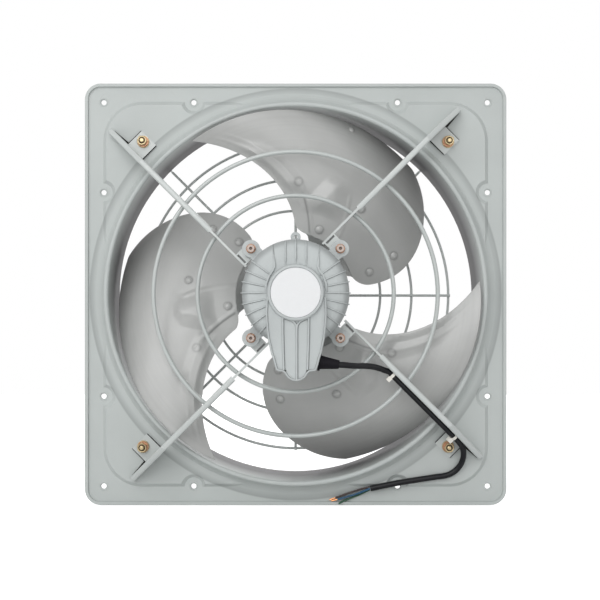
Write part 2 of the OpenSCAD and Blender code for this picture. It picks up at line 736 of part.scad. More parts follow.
module terminal_cover() color(frame_grey) upright() difference() {
  union() {
    translate([0, 0, tongue_back]) linear_extrude(tongue_depth) cover_outline(0);
    translate([0, 0, cover_face + fit])
      cylinder(r1 = head_r, r2 = head_r - 2, h = tongue_front - cover_face + 2 - fit, $fn = fine);
  }
  difference() {
    union() {
      tongue_groove(-1.5 * groove_w, -16);
      tongue_groove(-0.5 * groove_w, -26);
      tongue_groove(0.5 * groove_w, -26);
      tongue_groove(1.5 * groove_w, -16);
    }
    cylinder(r = head_r - 2, h = tongue_front + 10, $fn = fine);
  }
  intersection() {
    translate([0, 0, tongue_back - 1]) linear_extrude(tongue_depth - cover_wall) cover_outline(cover_wall);
    translate([-50, -cover_d - 20, 0]) cube([100, cover_d / 2 + 20 - 0.5, 200]);
  }
  behind_cover();
  translate([0, 0, cover_face]) for (s = [-1, 1]) translate([s * 12, 0, 0])
    cylinder(d = 3.4, h = 20, $fn = small);
  translate([0, 0, tongue_front + 1]) cylinder(r = label_r + 0.2, h = 5, $fn = fine);
  boot_axis() translate([0, 0, -10]) cylinder(d = boot_neck_d + 2 * fit, h = 20, $fn = mid);
}

module terminal_back_plate() color(frame_grey) upright() difference() {
  translate([0, 0, tongue_back]) linear_extrude(1.6) cover_outline(cover_wall + fit);
  behind_cover();
  translate([-50, -cover_d / 2 - 0.5, 0]) cube([100, 100, 200]);
}

module label_disc() color([0.93, 0.94, 0.95]) upright() translate([0, 0, tongue_front + 1 + fit])
  cylinder(r = label_r, h = 0.9, $fn = fine);

module terminal_cover_screws() color(steel) upright() for (s = [-1, 1]) translate([s * 12, 0, 0])
  translate([0, 0, cover_face - 2.8]) cylinder(d = 2.8, h = tongue_front - cover_face + 3, $fn = small);

block_z = tongue_back + 1.6 + fit;

module terminal_block() color([0.90, 0.88, 0.80]) upright() difference() {
  translate([-16, -77, block_z]) cube([26, 11, 8]);
  for (k = [0:2]) translate([-12 + 9 * k, -71.5, block_z + 2]) cylinder(d = 3.4, h = 10, $fn = small);
}

capacitor_d = 13;
capacitor_len = 34;

// The capacitor lies across the cover, just below the finned end cover
module capacitor() color([0.20, 0.21, 0.23]) upright()
  translate([-capacitor_len / 2, -cover_d / 2 - 1 - capacitor_d / 2,
             tongue_front - cover_wall - 1 - capacitor_d / 2 - fit])
    rotate([0, 90, 0]) cylinder(d = capacitor_d, h = capacitor_len, $fn = mid);

// Cable: boot, sheath, leads with stripped ends and ties

boot_tilt = atan((tongue_top - tongue_foot) / (tongue_len + tongue_top_y - 4));
boot_y = -73;
boot_z = tongue_back + tongue_depth * 0.45;
boot_x = tongue_top - (tongue_top_y - boot_y) * tan(boot_tilt);
boot_len = 22.5;
boot_neck_d = 9;

// Axis of the boot, with z running out of the cover's side wall
module boot_axis() translate([boot_x, boot_y, boot_z]) rotate([0, 90, -boot_tilt]) children();

module cable_boot() color(black) upright() boot_axis() difference() {
  union() {
    translate([0, 0, -cover_wall - 2]) cylinder(d = boot_neck_d, h = 4 + cover_wall, $fn = mid);
    translate([0, 0, slip]) cylinder(d = 18.6, h = 2.4, $fn = mid);
    translate([0, 0, 1]) cylinder(r1 = 7.6, r2 = 4.6, h = boot_len - 1, $fn = mid);
  }
  translate([0, 0, -10]) cylinder(d = cable_d + 2 * fit, h = 40, $fn = mid);
}

cable_z = front_ring_z + front_wire / 2 + cable_d / 2 + 0.2;
cable_side = arm_offset - arm_sheet / 2 - cable_d / 2 - 0.9;
tie_w = 3.4;
ties = [[arm_shoulder - 83, cable_z, 0], [arm_shoulder + 13, cable_z - 8.6, arm_slope]];

function in_boot(t) = [boot_x + t * cos(boot_tilt), boot_y - t * sin(boot_tilt), boot_z];
// Point beside the lower right arm, at distance l along it and offset towards its web
function on_arm(l, side, z) = [(l + side) * cos(45), -(l - side) * cos(45), z];

// Places where a tie holds the cable to the lower right arm
module at_ties() for (tie = ties)
  rotate([0, 0, -45]) translate([tie[0], cable_side, tie[1]]) rotate([0, tie[2], 0]) children();

bend_r = 24;
bend_l = foot_bolt_r;

// Point given from the frame's lower right corner
function in_corner(p) = [half + p[0], -half + p[1], p[2]];
// Point on the cable's turn round the foot bolt, after turning through angle a
function on_turn(a, z) = on_arm(bend_l + bend_r * sin(a), cable_side - bend_r * (1 - cos(a)), z);

cable_route = concat(
  [for (t = [-6, 4, 14, 24]) in_boot(t)],
  [[50.5, -76.2, 86.2], [57.5, -77, 83.6], [64.5, -77.6, 78.6], [71.5, -78, 71.8], [78, -78.6, 64.6]],
  [[84.5, -79.7, 57.6], [91, -81.6, 51.4], [97, -83.8, 46.8]],
  [for (p = [[-88, 44.2], [-83, 43.5], [-76, 43.5], [-62, 43.5],
    [-47, 43.5], [-32, 43.5], [-18, 43.5], [-9, 43.5]])
    on_arm(arm_shoulder + p[0], cable_side, p[1])],
  [for (p = [[-2.5, 42.9], [4, 40.6], [10, 36.9], [16, 33]])
    on_arm(arm_shoulder + p[0], cable_side, p[1])],
  [for (p = [[0, 28.4], [20, 23], [40, 17.8], [60, 13.4], [80, 10.4], [102, 9.1], [122, 9]])
    on_turn(p[0], p[1])],
  [for (p = [[-80, 33.4, 9], [-91, 31.7, 9], [-103, 29.9, 9], [-115, 28, 9],
    [-126, 26.1, 9], [-136, 24.1, 8.8], [-145, 22.1, 8.3], [-155, 19.8, 7]]) in_corner(p)]
);

function unit(v) = v / norm(v);
function tangent(p, i) = unit(p[min(i + 1, len(p) - 1)] - p[max(i - 1, 0)]);
function ring_points(p, i, r, n) =
  let (t = tangent(p, i), side = unit(cross(t, [0, 0, 1])), up = cross(side, t))
  [for (k = [0:n - 1]) p[i] + r * (cos(360 * k / n) * side + sin(360 * k / n) * up)];

module swept_tube(route, r, n) {
  m = len(route);
  polyhedron(
    points = [for (i = [0:m - 1]) each ring_points(route, i, r, n)],
    faces = concat(
      [[for (k = [0:n - 1]) k]],
      [for (i = [0:m - 2], k = [0:n - 1]) [i * n + k, (i + 1) * n + k, (i + 1) * n + (k + 1) % n]],
      [for (i = [0:m - 2], k = [0:n - 1]) [i * n + k, (i + 1) * n + (k + 1) % n, i * n + (k + 1) % n]],
      [[for (k = [n - 1:-1:0]) (m - 1) * n + k]]
    )
  );
}

module power_cable() color(black) upright() swept_tube(cable_route, cable_d / 2, 10);

blue_route = [for (p = [[-156, 20.2, 9.5], [-162, 17.4, 8.6], [-170, 14, 6.8],
  [-179, 11, 5.2], [-187, 8.4, 4.6], [-192.5, 7, 4.6]]) in_corner(p)];
green_route = [for (p = [[-155.8, 18.6, 6.8], [-163, 14.6, 4.8], [-171, 10.8, 3.2],
  [-179, 7.6, 3], [-186, 5, 4.6], [-191, 2.6, 6.6]]) in_corner(p)];
brown_route = [for (p = [[-156, 21.2, 6.9], [-164, 19.2, 5.2], [-172, 16.4, 3.8],
  [-181, 13.4, 3.2], [-189, 10.6, 3.4], [-195, 8.6, 4]]) in_corner(p)];

module lead_blue() color([0.10, 0.30, 0.42]) upright() swept_tube(blue_route, lead_d / 2, 8);
module lead_green() color([0.16, 0.30, 0.22]) upright() swept_tube(green_route, lead_d / 2, 8);
module lead_brown() color([0.25, 0.20, 0.22]) upright() swept_tube(brown_route, lead_d / 2, 8);

function end_of(p) = p[len(p) - 1];
function tip_route(p, l) = [end_of(p),
  end_of(p) + l * 0.5 * tangent(p, len(p) - 1), end_of(p) + l * tangent(p, len(p) - 1)];

module lead_tips() color([0.62, 0.40, 0.30]) upright() {
  swept_tube(tip_route(blue_route, 7), 0.8, 8);
  swept_tube(tip_route(brown_route, 7), 0.8, 8);
}

module cable_ties() color([0.92, 0.90, 0.86]) upright() at_ties() difference() {
  union() {
    rotate([0, 90, 0]) cylinder(d = cable_d + 2.2, h = tie_w, center = true, $fn = mid);
    translate([-2.4, -cable_d / 2 - 5, -2.6]) cube([4.8, 5, 5.2]);
  }
  rotate([0, 90, 0]) cylinder(d = cable_d + 0.4, h = 8, center = true, $fn = mid);
}

// Leads from the cable's inner end into the terminal block
module inner_leads() color([0.25, 0.28, 0.40]) upright() for (k = [0:2]) swept_tube([
  in_boot(-6.6) + [0, 1.9 * (1 - k), 0], in_boot(-9.2) + [0, 2.2 * (1 - k), 0],
  [6 * k - 3, -72 + 2 * (1 - k), block_z + 12], [8.6 * k - 10.5, -71.8, block_z + 10.6],
  [9 * k - 11.9, -71.5, block_z + 7.4], [9 * k - 12, -71.4, block_z + 3]
], 0.7, 8);

// Blades: a surface given by radius and angle, swept forward towards the tip

lead_power = 1.35;
trail_power = 1.9;
lead_low_r = root_r + 7.5;
trail_low_r = root_r + 18.5;
lead_corner_r = root_r + 11.5;
trail_corner_r = root_r + 19.5;
tip_corner = 20;
blade_rows = 13;
blade_cols = 18;

function lead_line(r) = lead_root_a + lead_sweep *
  pow(max(0, (r - lead_low_r) / (tip_r - lead_low_r)), lead_power);
function trail_line(r) = trail_root_a + trail_sweep *
  pow(max(0, (r - trail_low_r) / (tip_r - trail_low_r)), trail_power);
function corner(r, r0, r1) = 1 - sqrt(max(0, 1 - pow(max(0, (r0 - r) / (r0 - r1)), 2)));
function lead_a(r) = lead_line(r) - 16 * corner(r, lead_corner_r, root_r);
function trail_a(r) = trail_line(r) + 13 * corner(r, trail_corner_r, root_r)
  + 4 * corner(-r, -tip_r + tip_corner, -tip_r);
function blade_u(r, a) = (lead_line(r) - a) / (lead_line(r) - trail_line(r));
function blade_z(r, a) =
  let (u = blade_u(r, a), v = max(0, (r - root_r) / (tip_r - root_r)))
  mix(mix(lead_root_z, lead_tip_z, v), -mix(trail_root_z, trail_tip_z, v), u)
    + mix(camber_root, camber_tip, v) * 4 * u * (1 - u) * (1 + 0.6 * (1 - 2 * u));
// Radius of row j at column fraction c, drawn in a little at the trailing end of the tip
function tip_at(c) = tip_r - 3 * pow(max(0, (c - 0.6) / 0.4), 2);
function row_step(v) = 0.55 * pow(v, 1.7) + 0.45 * (1 - pow(1 - v, 2));
function row_r(j, c) = root_r + (tip_at(c) - root_r) * row_step(j / blade_rows);

// Sheet between a grid of points and the same grid lowered by t
module grid_sheet(grid, t) {
  rows = len(grid);
  cols = len(grid[0]);
  n = rows * cols;
  top = [for (row = grid, p = row) p];
  low = [for (p = top) p - [0, 0, t]];
  edge = concat(
    [for (i = [0:cols - 2]) i], [for (j = [0:rows - 2]) j * cols + cols - 1],
    [for (i = [cols - 1:-1:1]) (rows - 1) * cols + i], [for (j = [rows - 1:-1:1]) j * cols]
  );
  m = len(edge);
  cells = [for (j = [0:rows - 2], i = [0:cols - 2]) j * cols + i];
  polyhedron(points = concat(top, low), faces = concat(
    [for (q = cells) [q, q + cols + 1, q + 1]],
    [for (q = cells) [q, q + cols, q + cols + 1]],
    [for (q = cells) [n + q, n + q + 1, n + q + cols + 1]],
    [for (q = cells) [n + q, n + q + cols + 1, n + q + cols]],
    [for (k = [0:m - 1]) [edge[k], edge[(k + 1) % m], n + edge[(k + 1) % m]]],
    [for (k = [0:m - 1]) [edge[k], n + edge[(k + 1) % m], n + edge[k]]]
  ));
}

// Rivets of one blade: radius and angle
rivet_spots = [[wing_r - 11.5, 21.8], [wing_r - 12, 52.5], [wing_r - 8.5, 88.5],
  [root_r + 21.5, 17.3], [root_r + 9.5, 70]];

// Axis through the blade at a rivet, square to its surface
module at_rivet(spot) {
  r = spot[0];
  a = spot[1];
  p = polar(r, a, blade_z(r, a));
  along = polar(r + 1, a, blade_z(r + 1, a)) - p;
  round = polar(r, a + 1, blade_z(r, a + 1)) - p;
  n = unit(cross(along, round));
  translate(p) rotate([0, acos(n[2]), atan2(n[1], n[0])]) children();
}

module rivet_holes() for (spot = rivet_spots) at_rivet(spot)
  translate([0, 0, -2.4 * rivet_d]) cylinder(d = rivet_d + 0.2, h = 4.8 * rivet_d, $fn = small);

// Radius and angle of the rivet that balances the fan
balance_spot = [tip_r - 7.5, 71.3];
balance_d = 4;

module balance_rivet() color(blade_grey) upright() at_rivet(balance_spot)
  rivet(blade_sheet / 2 + 0.1, blade_sheet / 2 + 0.2, balance_d);

module blade(k) color(blade_grey) upright() rotate([0, 0, 120 * k]) difference() {
  grid_sheet([for (j = [0:blade_rows]) [for (i = [0:blade_cols])
    let (c = i / blade_cols, r = row_r(j, c), a = mix(lead_a(r), trail_a(r), c))
      polar(r, a, blade_z(r, a) + blade_sheet / 2)]], blade_sheet);
  rivet_holes();
}
module blade_1() difference() {
  blade(0);
  upright() at_rivet(balance_spot) translate([0, 0, -3 * balance_d])
    cylinder(d = balance_d + 0.2, h = 6 * balance_d, $fn = small);
}
module blade_2() blade(1);
module blade_3() blade(2);

// Spider: flat centre with three wings that rise to the blades' rear faces

neck_from = 22;
neck_to = 74;
wing_rows = 11;
wing_cols = 12;
disc_top = spider_sheet / 2 - spider_z;

function wing_edge(r, blade_a, neck_a) = mix(neck_a, blade_a, min(1, max(0, (r - root_r + 6) / 14)));
function wing_z(r, a) =
  let (seat = blade_z(max(r, root_r), a) - blade_sheet / 2 - slip,
       rise = min(1, max(0, (r - spider_disc_r + 1) / (root_r - spider_disc_r + 1))))
  mix(disc_top, seat, pow(rise, 2.2));
function wing_row_r(j) = mix(spider_disc_r - 7, wing_r, pow(j / wing_rows, 1.15));

module fan_spider() color(blade_grey) upright() difference() {
  union() {
    translate([0, 0, disc_top - spider_sheet]) cylinder(r = spider_disc_r, h = spider_sheet, $fn = fine);
    for (k = [0:blades - 1]) rotate([0, 0, 120 * k])
      grid_sheet([for (j = [0:wing_rows]) [for (i = [0:wing_cols])
      let (r = wing_row_r(j),
           lead_side = wing_edge(r, lead_line(r) - 4.5, neck_to),
           trail_side = wing_edge(r, trail_line(r) + 4.5, neck_from),
           a = mix(lead_side, trail_side, i / wing_cols))
      polar(r, a, wing_z(r, a))]], spider_sheet * 0.8);
  }
  translate([0, 0, hub_rear]) cylinder(d = hub_d * 0.75 + 2 * fit, h = 60, $fn = fine);
  for (k = [0:5]) rotate([0, 0, 60 * k + 30])
    translate([hub_rivet_r, 0, hub_rear]) cylinder(d = rivet_d + 0.2, h = 60, $fn = small);
  for (k = [0:blades - 1]) rotate([0, 0, 120 * k]) rivet_holes();
}

hub_rivet_r = 31;
flange_h = 5;
flange_lip = 7;

module fan_hub() color(steel) upright() difference() {
  union() {
    translate([0, 0, hub_rear]) cylinder(d = hub_d, h = disc_top - spider_sheet - fit - hub_rear, $fn = fine);
    translate([0, 0, disc_top - spider_sheet - fit - flange_h])
      cylinder(r = hub_rivet_r + flange_lip, h = flange_h, $fn = fine);
    translate([0, 0, hub_rear]) cylinder(d = hub_d * 0.75, h = hub_front - hub_rear, $fn = fine);
  }
  translate([0, 0, hub_rear - 1]) cylinder(d = spigot_d + 2 * fit, h = hub_front - hub_rear + 2, $fn = fine);
  translate([-2 - fit, 0, hub_rear - 1]) cube([4 + 2 * fit, spigot_d / 2 + 1.8, hub_front - hub_rear + 2]);
  for (k = [0:5]) rotate([0, 0, 60 * k + 30])
    translate([hub_rivet_r, 0, hub_rear - 1]) cylinder(d = rivet_d + 0.2, h = 60, $fn = small);
}

// Domed head, shank and flat closing head, with z out of the motor side
module rivet(grip_top, grip_low, d) {
  translate([0, 0, -grip_low - 1]) cylinder(d = d, h = grip_low + grip_top + 2, $fn = small);
  translate([0, 0, grip_top]) intersection() {
    cylinder(d = d * 1.8, h = d * 0.5, $fn = mid);
    translate([0, 0, -d * 0.65]) sphere(d = d * 2.3, $fn = mid);
  }
  translate([0, 0, -grip_low - d * 0.35]) cylinder(d = d * 1.6, h = d * 0.35, $fn = mid);
}

module blade_rivets() color(blade_grey) upright() for (k = [0:blades - 1]) rotate([0, 0, 120 * k])
  for (spot = rivet_spots) at_rivet(spot)
    rivet(blade_sheet / 2 + 0.2, blade_sheet / 2 + slip + spider_sheet * 0.8 + 0.35, rivet_d);

module hub_rivets() color(steel) upright() for (k = [0:5]) rotate([0, 0, 60 * k + 30])
  translate([hub_rivet_r, 0, disc_top]) rivet(fit, spider_sheet + flange_h + 2 * fit, rivet_d);

module hub_washer() color(steel) upright()
  translate([0, 0, hub_rear - fit - 2]) washer(24, spigot_d + 2 * fit, 2);
module hub_nut() color(steel) upright() translate([0, 0, hub_rear - 2 * fit - 2]) mirror([0, 0, 1])
  hex_nut(19, spigot_d + 2 * fit, nut_h);

frame_plate();
arm_upper_right();
arm_upper_left();
arm_lower_left();
arm_lower_right();
foot_bolts();
foot_spring_washers();
foot_washers();
foot_nuts();
front_ring_inner();
front_ring_outer();
rear_guard_rings();
rear_guard_spokes();
rear_guard_legs();
motor_shell();
lug_bolts();
lug_washers();
lug_nuts();
motor_end_cover();
drive_end_shield();
shield_screws();
stator_core();
stator_windings();
bearing_outer_races();
bearing_balls();
bearing_cages();
wave_washer();
terminal_cover();
terminal_back_plate();
terminal_cover_screws();
terminal_block();
inner_leads();
capacitor();
label_disc();
cable_boot();
power_cable();
lead_blue();
lead_green();
lead_brown();
lead_tips();
cable_ties();
motor_shaft();
shaft_key();
rotor_core();
bearing_inner_races();
fan_hub();
fan_spider();
blade_1();
blade_2();
blade_3();
blade_rivets();
balance_rivet();
hub_rivets();
hub_washer();
hub_nut();
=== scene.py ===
# %% [markdown]
# # A wall-mounted exhaust fan, dressed step by step
# The exact solids of the fan come in as a fixed frame. This lesson gives them their paint, zinc and
# rubber, and makes again the pieces whose pressed or flexible shape a solid modeller leaves too plain.

# %% Load the solids
import math
import bpy
from mathutils import Matrix, Vector


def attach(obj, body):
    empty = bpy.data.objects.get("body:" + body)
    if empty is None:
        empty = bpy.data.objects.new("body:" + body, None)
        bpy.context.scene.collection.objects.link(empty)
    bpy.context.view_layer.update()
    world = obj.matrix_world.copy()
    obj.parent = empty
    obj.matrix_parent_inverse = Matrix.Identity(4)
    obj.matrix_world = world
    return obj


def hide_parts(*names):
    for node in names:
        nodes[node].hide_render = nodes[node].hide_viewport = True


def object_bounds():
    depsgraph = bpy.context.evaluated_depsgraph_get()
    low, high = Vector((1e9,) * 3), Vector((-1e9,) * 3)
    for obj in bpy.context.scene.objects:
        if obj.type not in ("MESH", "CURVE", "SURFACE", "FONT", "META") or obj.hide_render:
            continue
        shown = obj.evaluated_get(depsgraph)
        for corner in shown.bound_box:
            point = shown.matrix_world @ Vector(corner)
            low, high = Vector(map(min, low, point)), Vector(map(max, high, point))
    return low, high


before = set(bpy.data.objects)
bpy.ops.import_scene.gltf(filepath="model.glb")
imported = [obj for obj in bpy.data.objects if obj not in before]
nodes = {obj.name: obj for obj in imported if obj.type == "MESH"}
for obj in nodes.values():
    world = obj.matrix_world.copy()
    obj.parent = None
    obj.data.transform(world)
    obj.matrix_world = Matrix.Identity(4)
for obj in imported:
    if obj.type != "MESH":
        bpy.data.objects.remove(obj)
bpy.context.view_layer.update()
bpy.ops.object.select_all(action="DESELECT")

# %% [markdown]
# The photograph was taken from a little over a metre, almost square on, with the lens about level with
# the motor. A camera turned upright with a small shift keeps the frame's edges parallel, as they are
# there.

# %% The camera
camera_data = bpy.data.cameras.new("studio_camera")
camera_data.sensor_width = 36
camera_data.lens = 63.14
camera_data.shift_x = 0.0073
camera_data.shift_y = 0.0205
camera_data.clip_end = 20
camera = bpy.data.objects.new("studio_camera", camera_data)
camera.location = (0.0, -1.2, -0.0205)
camera.rotation_euler = (math.radians(90), 0, 0)
bpy.context.scene.collection.objects.link(camera)
bpy.context.scene.camera = camera
print("camera at", tuple(round(v, 4) for v in camera.location), "lens", round(camera_data.lens, 2), "mm")

# %% [markdown]
# ## The supply cable
# It leaves the terminal cover through a rubber boot, drops onto the lower right arm, follows it nearly
# to its tip and turns back along the frame's lower edge, where its sheath ends. A smooth curve through
# points about a centimetre apart is the natural way to make it: the bevel of the curve is the cable's
# round section.

# %% Points of the cable's route
MM = 0.001
HALF = math.sqrt(0.5)
CABLE = 6.6
ARM_SIDE, ARM_SHEET = 17.4, 2.4
CABLE_SIDE = ARM_SIDE - ARM_SHEET / 2 - CABLE / 2 - 0.9
TURN_START, TURN_R = 245, 24
BOOT_TILT = math.atan(8.6 / 68)
BOOT_ROOT = (31.6 - 63 * math.tan(BOOT_TILT), -73, 86.4)


def on_bench(x, y, z):
    # The bench measures x right, y up and z out of the wall, the frame has z up and y into the wall
    return Vector((x, -z, y)) * MM


def in_boot(t):
    # Point of the boot's axis, t outwards from its root on the leaning flank of the terminal cover
    x, y, z = BOOT_ROOT
    return (x + t * math.cos(BOOT_TILT), y - t * math.sin(BOOT_TILT), z)


def on_arm(along, side, z):
    # Point beside the lower right arm, side measured from the diagonal that its bolts lie on
    return ((along + side) * HALF, -(along - side) * HALF, z)


def on_turn(angle, z):
    # Point of the arc on which the cable leaves the arm
    a = math.radians(angle)
    return on_arm(TURN_START + TURN_R * math.sin(a), CABLE_SIDE - TURN_R * (1 - math.cos(a)), z)


route = [in_boot(t) for t in (-6, 4, 14, 24)]
route += [(50.5, -76.2, 86.2), (57.5, -77, 83.6), (64.5, -77.6, 78.6), (71.5, -78, 71.8),
          (78, -78.6, 64.6)]
route += [(84.5, -79.7, 57.6), (91, -81.6, 51.4), (97, -83.8, 46.8)]
route += [on_arm(a, CABLE_SIDE, z) for a, z in (
    (134, 44.2), (139, 43.5), (146, 43.5), (160, 43.5), (175, 43.5), (190, 43.5), (204, 43.5),
    (213, 43.5), (219.5, 42.9), (226, 40.6), (232, 36.9), (238, 33))]
route += [on_turn(a, z) for a, z in (
    (0, 28.4), (20, 23), (40, 17.8), (60, 13.4), (80, 10.4), (102, 9.1), (122, 9))]
route += [(160, -206.6, 9), (149, -208.3, 9), (137, -210.1, 9), (125, -212, 9)]
route += [(114, -213.9, 9), (104, -215.9, 8.8), (95, -217.9, 8.3), (85, -220.2, 7)]
cable_points = [on_bench(*p) for p in route]
print(len(cable_points), "points on the cable")

# %% [markdown]
# Where the sheath ends, three insulated leads fan out over the frame's lower edge, with bare copper at
# their tips.

# %% The cable and its three cut leads


def curve_through(name, points, radius, sides=4):
    # Each knot carries the tube's radius, because Blender adds a knot's radius to the box of a curve
    line = bpy.data.curves.new(name, "CURVE")
    line.dimensions = "3D"
    line.bevel_depth = 1
    line.bevel_resolution = sides
    line.resolution_u = 6
    line.use_fill_caps = True
    spline = line.splines.new("BEZIER")
    spline.bezier_points.add(len(points) - 1)
    for knot, point in zip(spline.bezier_points, points):
        knot.co = knot.handle_left = knot.handle_right = point
        knot.radius = radius
        knot.handle_left_type = knot.handle_right_type = "AUTO"
    piece = bpy.data.objects.new(name, line)
    bpy.context.scene.collection.objects.link(piece)
    return piece


cable = curve_through("supply_cable", cable_points, CABLE / 2 * MM, 6)
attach(cable, "frame")
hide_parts("power_cable")

LEAD = 2.2
LEADS = {
    "blue": [(84, -219.8, 9.5), (78, -222.6, 8.6), (70, -226, 6.8), (61, -229, 5.2),
             (53, -231.6, 4.6), (47.5, -233, 4.6)],
    "green": [(84.2, -221.4, 6.8), (77, -225.4, 4.8), (69, -229.2, 3.2), (61, -232.4, 3),
              (54, -235, 4.6), (49, -237.4, 6.6)],
    "brown": [(84, -218.8, 6.9), (76, -220.8, 5.2), (68, -223.6, 3.8), (59, -226.6, 3.2),
              (51, -229.4, 3.4), (45, -231.4, 4)],
}
leads = {}
for colour, points in LEADS.items():
    leads[colour] = curve_through(f"cut_lead_{colour}", [on_bench(*p) for p in points], LEAD / 2 * MM)
    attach(leads[colour], "frame")
    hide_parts(f"lead_{colour}")

# %% [markdown]
# ## Finishes
# The plate, the arms, the wires, the blades and the motor's castings all wear the same grey-green enamel.
# A painted surface is a colour under a clear gloss, never quite even: spraying leaves a faint orange
# peel. Noise in object coordinates gives the peel and the uneven tone at their real size, and painted
# shade darkens the hollows.

# %% Helpers for a material


def begin(name, roughness, shine=0.5):
    # A new material, its tree, its shader and the object coordinates
    material = bpy.data.materials.new(name)
    material.use_nodes = True
    tree = material.node_tree
    shader = tree.nodes["Principled BSDF"]
    shader.inputs["Roughness"].default_value = roughness
    shader.inputs["Specular IOR Level"].default_value = shine
    return material, tree, shader, tree.nodes.new("ShaderNodeTexCoord").outputs["Object"]


def noise(tree, place, scale, detail):
    cloud = tree.nodes.new("ShaderNodeTexNoise")
    cloud.inputs["Scale"].default_value = scale
    cloud.inputs["Detail"].default_value = detail
    tree.links.new(place, cloud.inputs["Vector"])
    return cloud.outputs["Fac"]


def tones(tree, share, colour, dark, light, start=0.0, end=1.0):
    # The colour between a darker and a lighter tone of itself
    ramp = tree.nodes.new("ShaderNodeValToRGB")
    for stop, position, factor in zip(ramp.color_ramp.elements, (start, end), (dark, light)):
        stop.position = position
        stop.color = [min(1, c * factor) for c in colour] + [1]
    tree.links.new(share, ramp.inputs["Fac"])
    return ramp.outputs["Color"]


def mixed(tree, share, under, colour):
    # A second colour laid over the first by that share
    layer = tree.nodes.new("ShaderNodeMix")
    layer.data_type = "RGBA"
    layer.inputs["B"].default_value = colour
    tree.links.new(share, layer.inputs["Factor"])
    tree.links.new(under, layer.inputs["A"])
    return layer.outputs["Result"]


def with_painted_shade(tree, under, colour):
    # Every new piece carries its painted shade as an attribute of its points
    shade_share = tree.nodes.new("ShaderNodeAttribute")
    shade_share.attribute_name = "painted_shade"
    return mixed(tree, shade_share.outputs["Fac"], under, colour)


def bumped(tree, shader, height, strength, distance):
    # distance is in millimetres
    bump = tree.nodes.new("ShaderNodeBump")
    bump.inputs["Strength"].default_value = strength
    bump.inputs["Distance"].default_value = distance * MM
    tree.links.new(height, bump.inputs["Height"])
    tree.links.new(bump.outputs["Normal"], shader.inputs["Normal"])


# %% Enamel
CLOUD, RIPPLE = 14, 420
PAINTED_SHADE_TONE = 0.32


def enamel(name, colour, roughness, peel=0.06, mottle=0.04, coat=0.08, shine=0.3, coat_blur=0.25):
    paint, tree, shader, place = begin(name, roughness, shine)
    shader.inputs["Coat Weight"].default_value = coat
    shader.inputs["Coat Roughness"].default_value = coat_blur
    tone = tones(tree, noise(tree, place, CLOUD, 5), colour, 1 - mottle, 1 + mottle, 0.3, 0.7)
    # Painted shade darkens the enamel where a piece's points carry it
    shaded_colour = with_painted_shade(tree, tone, [c * PAINTED_SHADE_TONE for c in colour] + [1])
    tree.links.new(shaded_colour, shader.inputs["Base Color"])
    bumped(tree, shader, noise(tree, place, RIPPLE, 2), peel, 1)
    return paint


FINISH = {
    "frame": enamel("enamel_frame", (0.47, 0.50, 0.49), 0.48, coat=0.06, shine=0.4),
    # The arms' copy of the enamel is a little lighter than the frame's: painted light for what their
    # rounded fronts catch
    "arm": enamel("enamel_arm", (0.50, 0.53, 0.52), 0.30, coat=0.6, shine=0.5, coat_blur=0.14),
    "wire": enamel("enamel_wire", (0.46, 0.49, 0.48), 0.30, coat=0.6, shine=0.5, coat_blur=0.14),
    "blade": enamel("enamel_blade", (0.435, 0.44, 0.432), 0.32, mottle=0.07, coat=0.3, shine=0.5),
    "motor": enamel("enamel_motor", (0.49, 0.52, 0.52), 0.55, peel=0.26, mottle=0.06, coat=0.05),
}
print(len(FINISH), "enamels")

# %% [markdown]
# The bolts and washers are plated, the motor's inside is bare steel, copper and brass. A fine noise moves
# both the colour and the gloss, because a plated skin is never as even as a painted one, and painted
# shade turns the hollows of a head almost black.

# %% Metals
HOLLOW_SHADE = (0.035, 0.022, 0.018, 1)


def metal(name, colour, roughness, grain=180, depth=0.05):
    plated, tree, shader, place = begin(name, roughness)
    shader.inputs["Metallic"].default_value = 1
    cloud = noise(tree, place, grain, 3)
    # Painted shade darkens the hollows of a bolt head and the lower part of its flats
    shaded_colour = with_painted_shade(tree, tones(tree, cloud, colour, 0.8, 1.15), HOLLOW_SHADE)
    tree.links.new(shaded_colour, shader.inputs["Base Color"])
    gloss = tree.nodes.new("ShaderNodeMapRange")
    gloss.inputs["To Min"].default_value = roughness * 0.75
    gloss.inputs["To Max"].default_value = roughness * 1.35
    tree.links.new(cloud, gloss.inputs["Value"])
    tree.links.new(gloss.outputs["Result"], shader.inputs["Roughness"])
    bumped(tree, shader, cloud, depth, 1)
    return plated


FINISH.update({
    "zinc": metal("yellow_zinc", (0.56, 0.45, 0.27), 0.36, 260),
    "bright": metal("bright_zinc", (0.50, 0.49, 0.47), 0.34, 260),
    "ground": metal("ground_steel", (0.62, 0.62, 0.63), 0.18, 400, 0.02),
    "stack": metal("sheet_stack", (0.30, 0.31, 0.33), 0.45, 300),
    "copper": metal("drawn_copper", (0.72, 0.34, 0.16), 0.28, 500),
    "brass": metal("rolled_brass", (0.70, 0.52, 0.24), 0.30, 300),
    "rose": metal("rose_zinc", (0.42, 0.23, 0.15), 0.36, 300),
    "pale": metal("pale_zinc", (0.40, 0.335, 0.30), 0.48, 300),
})
print(len(FINISH), "finishes so far")

# %% [markdown]
# The boot, the sheath, the leads' insulation, the ties and the label's foil are moulded or drawn. They
# need no more than a colour that wavers a little and a trace of grain.

# %% Rubber and plastic


def moulded(name, colour, roughness, grain=500, depth=0.08, spread=0.12, shine=0.5):
    body, tree, shader, place = begin(name, roughness, shine)
    cloud = noise(tree, place, grain, 3)
    tree.links.new(tones(tree, cloud, colour, 1 - spread, 1 + spread), shader.inputs["Base Color"])
    bumped(tree, shader, cloud, depth, 0.5)
    return body


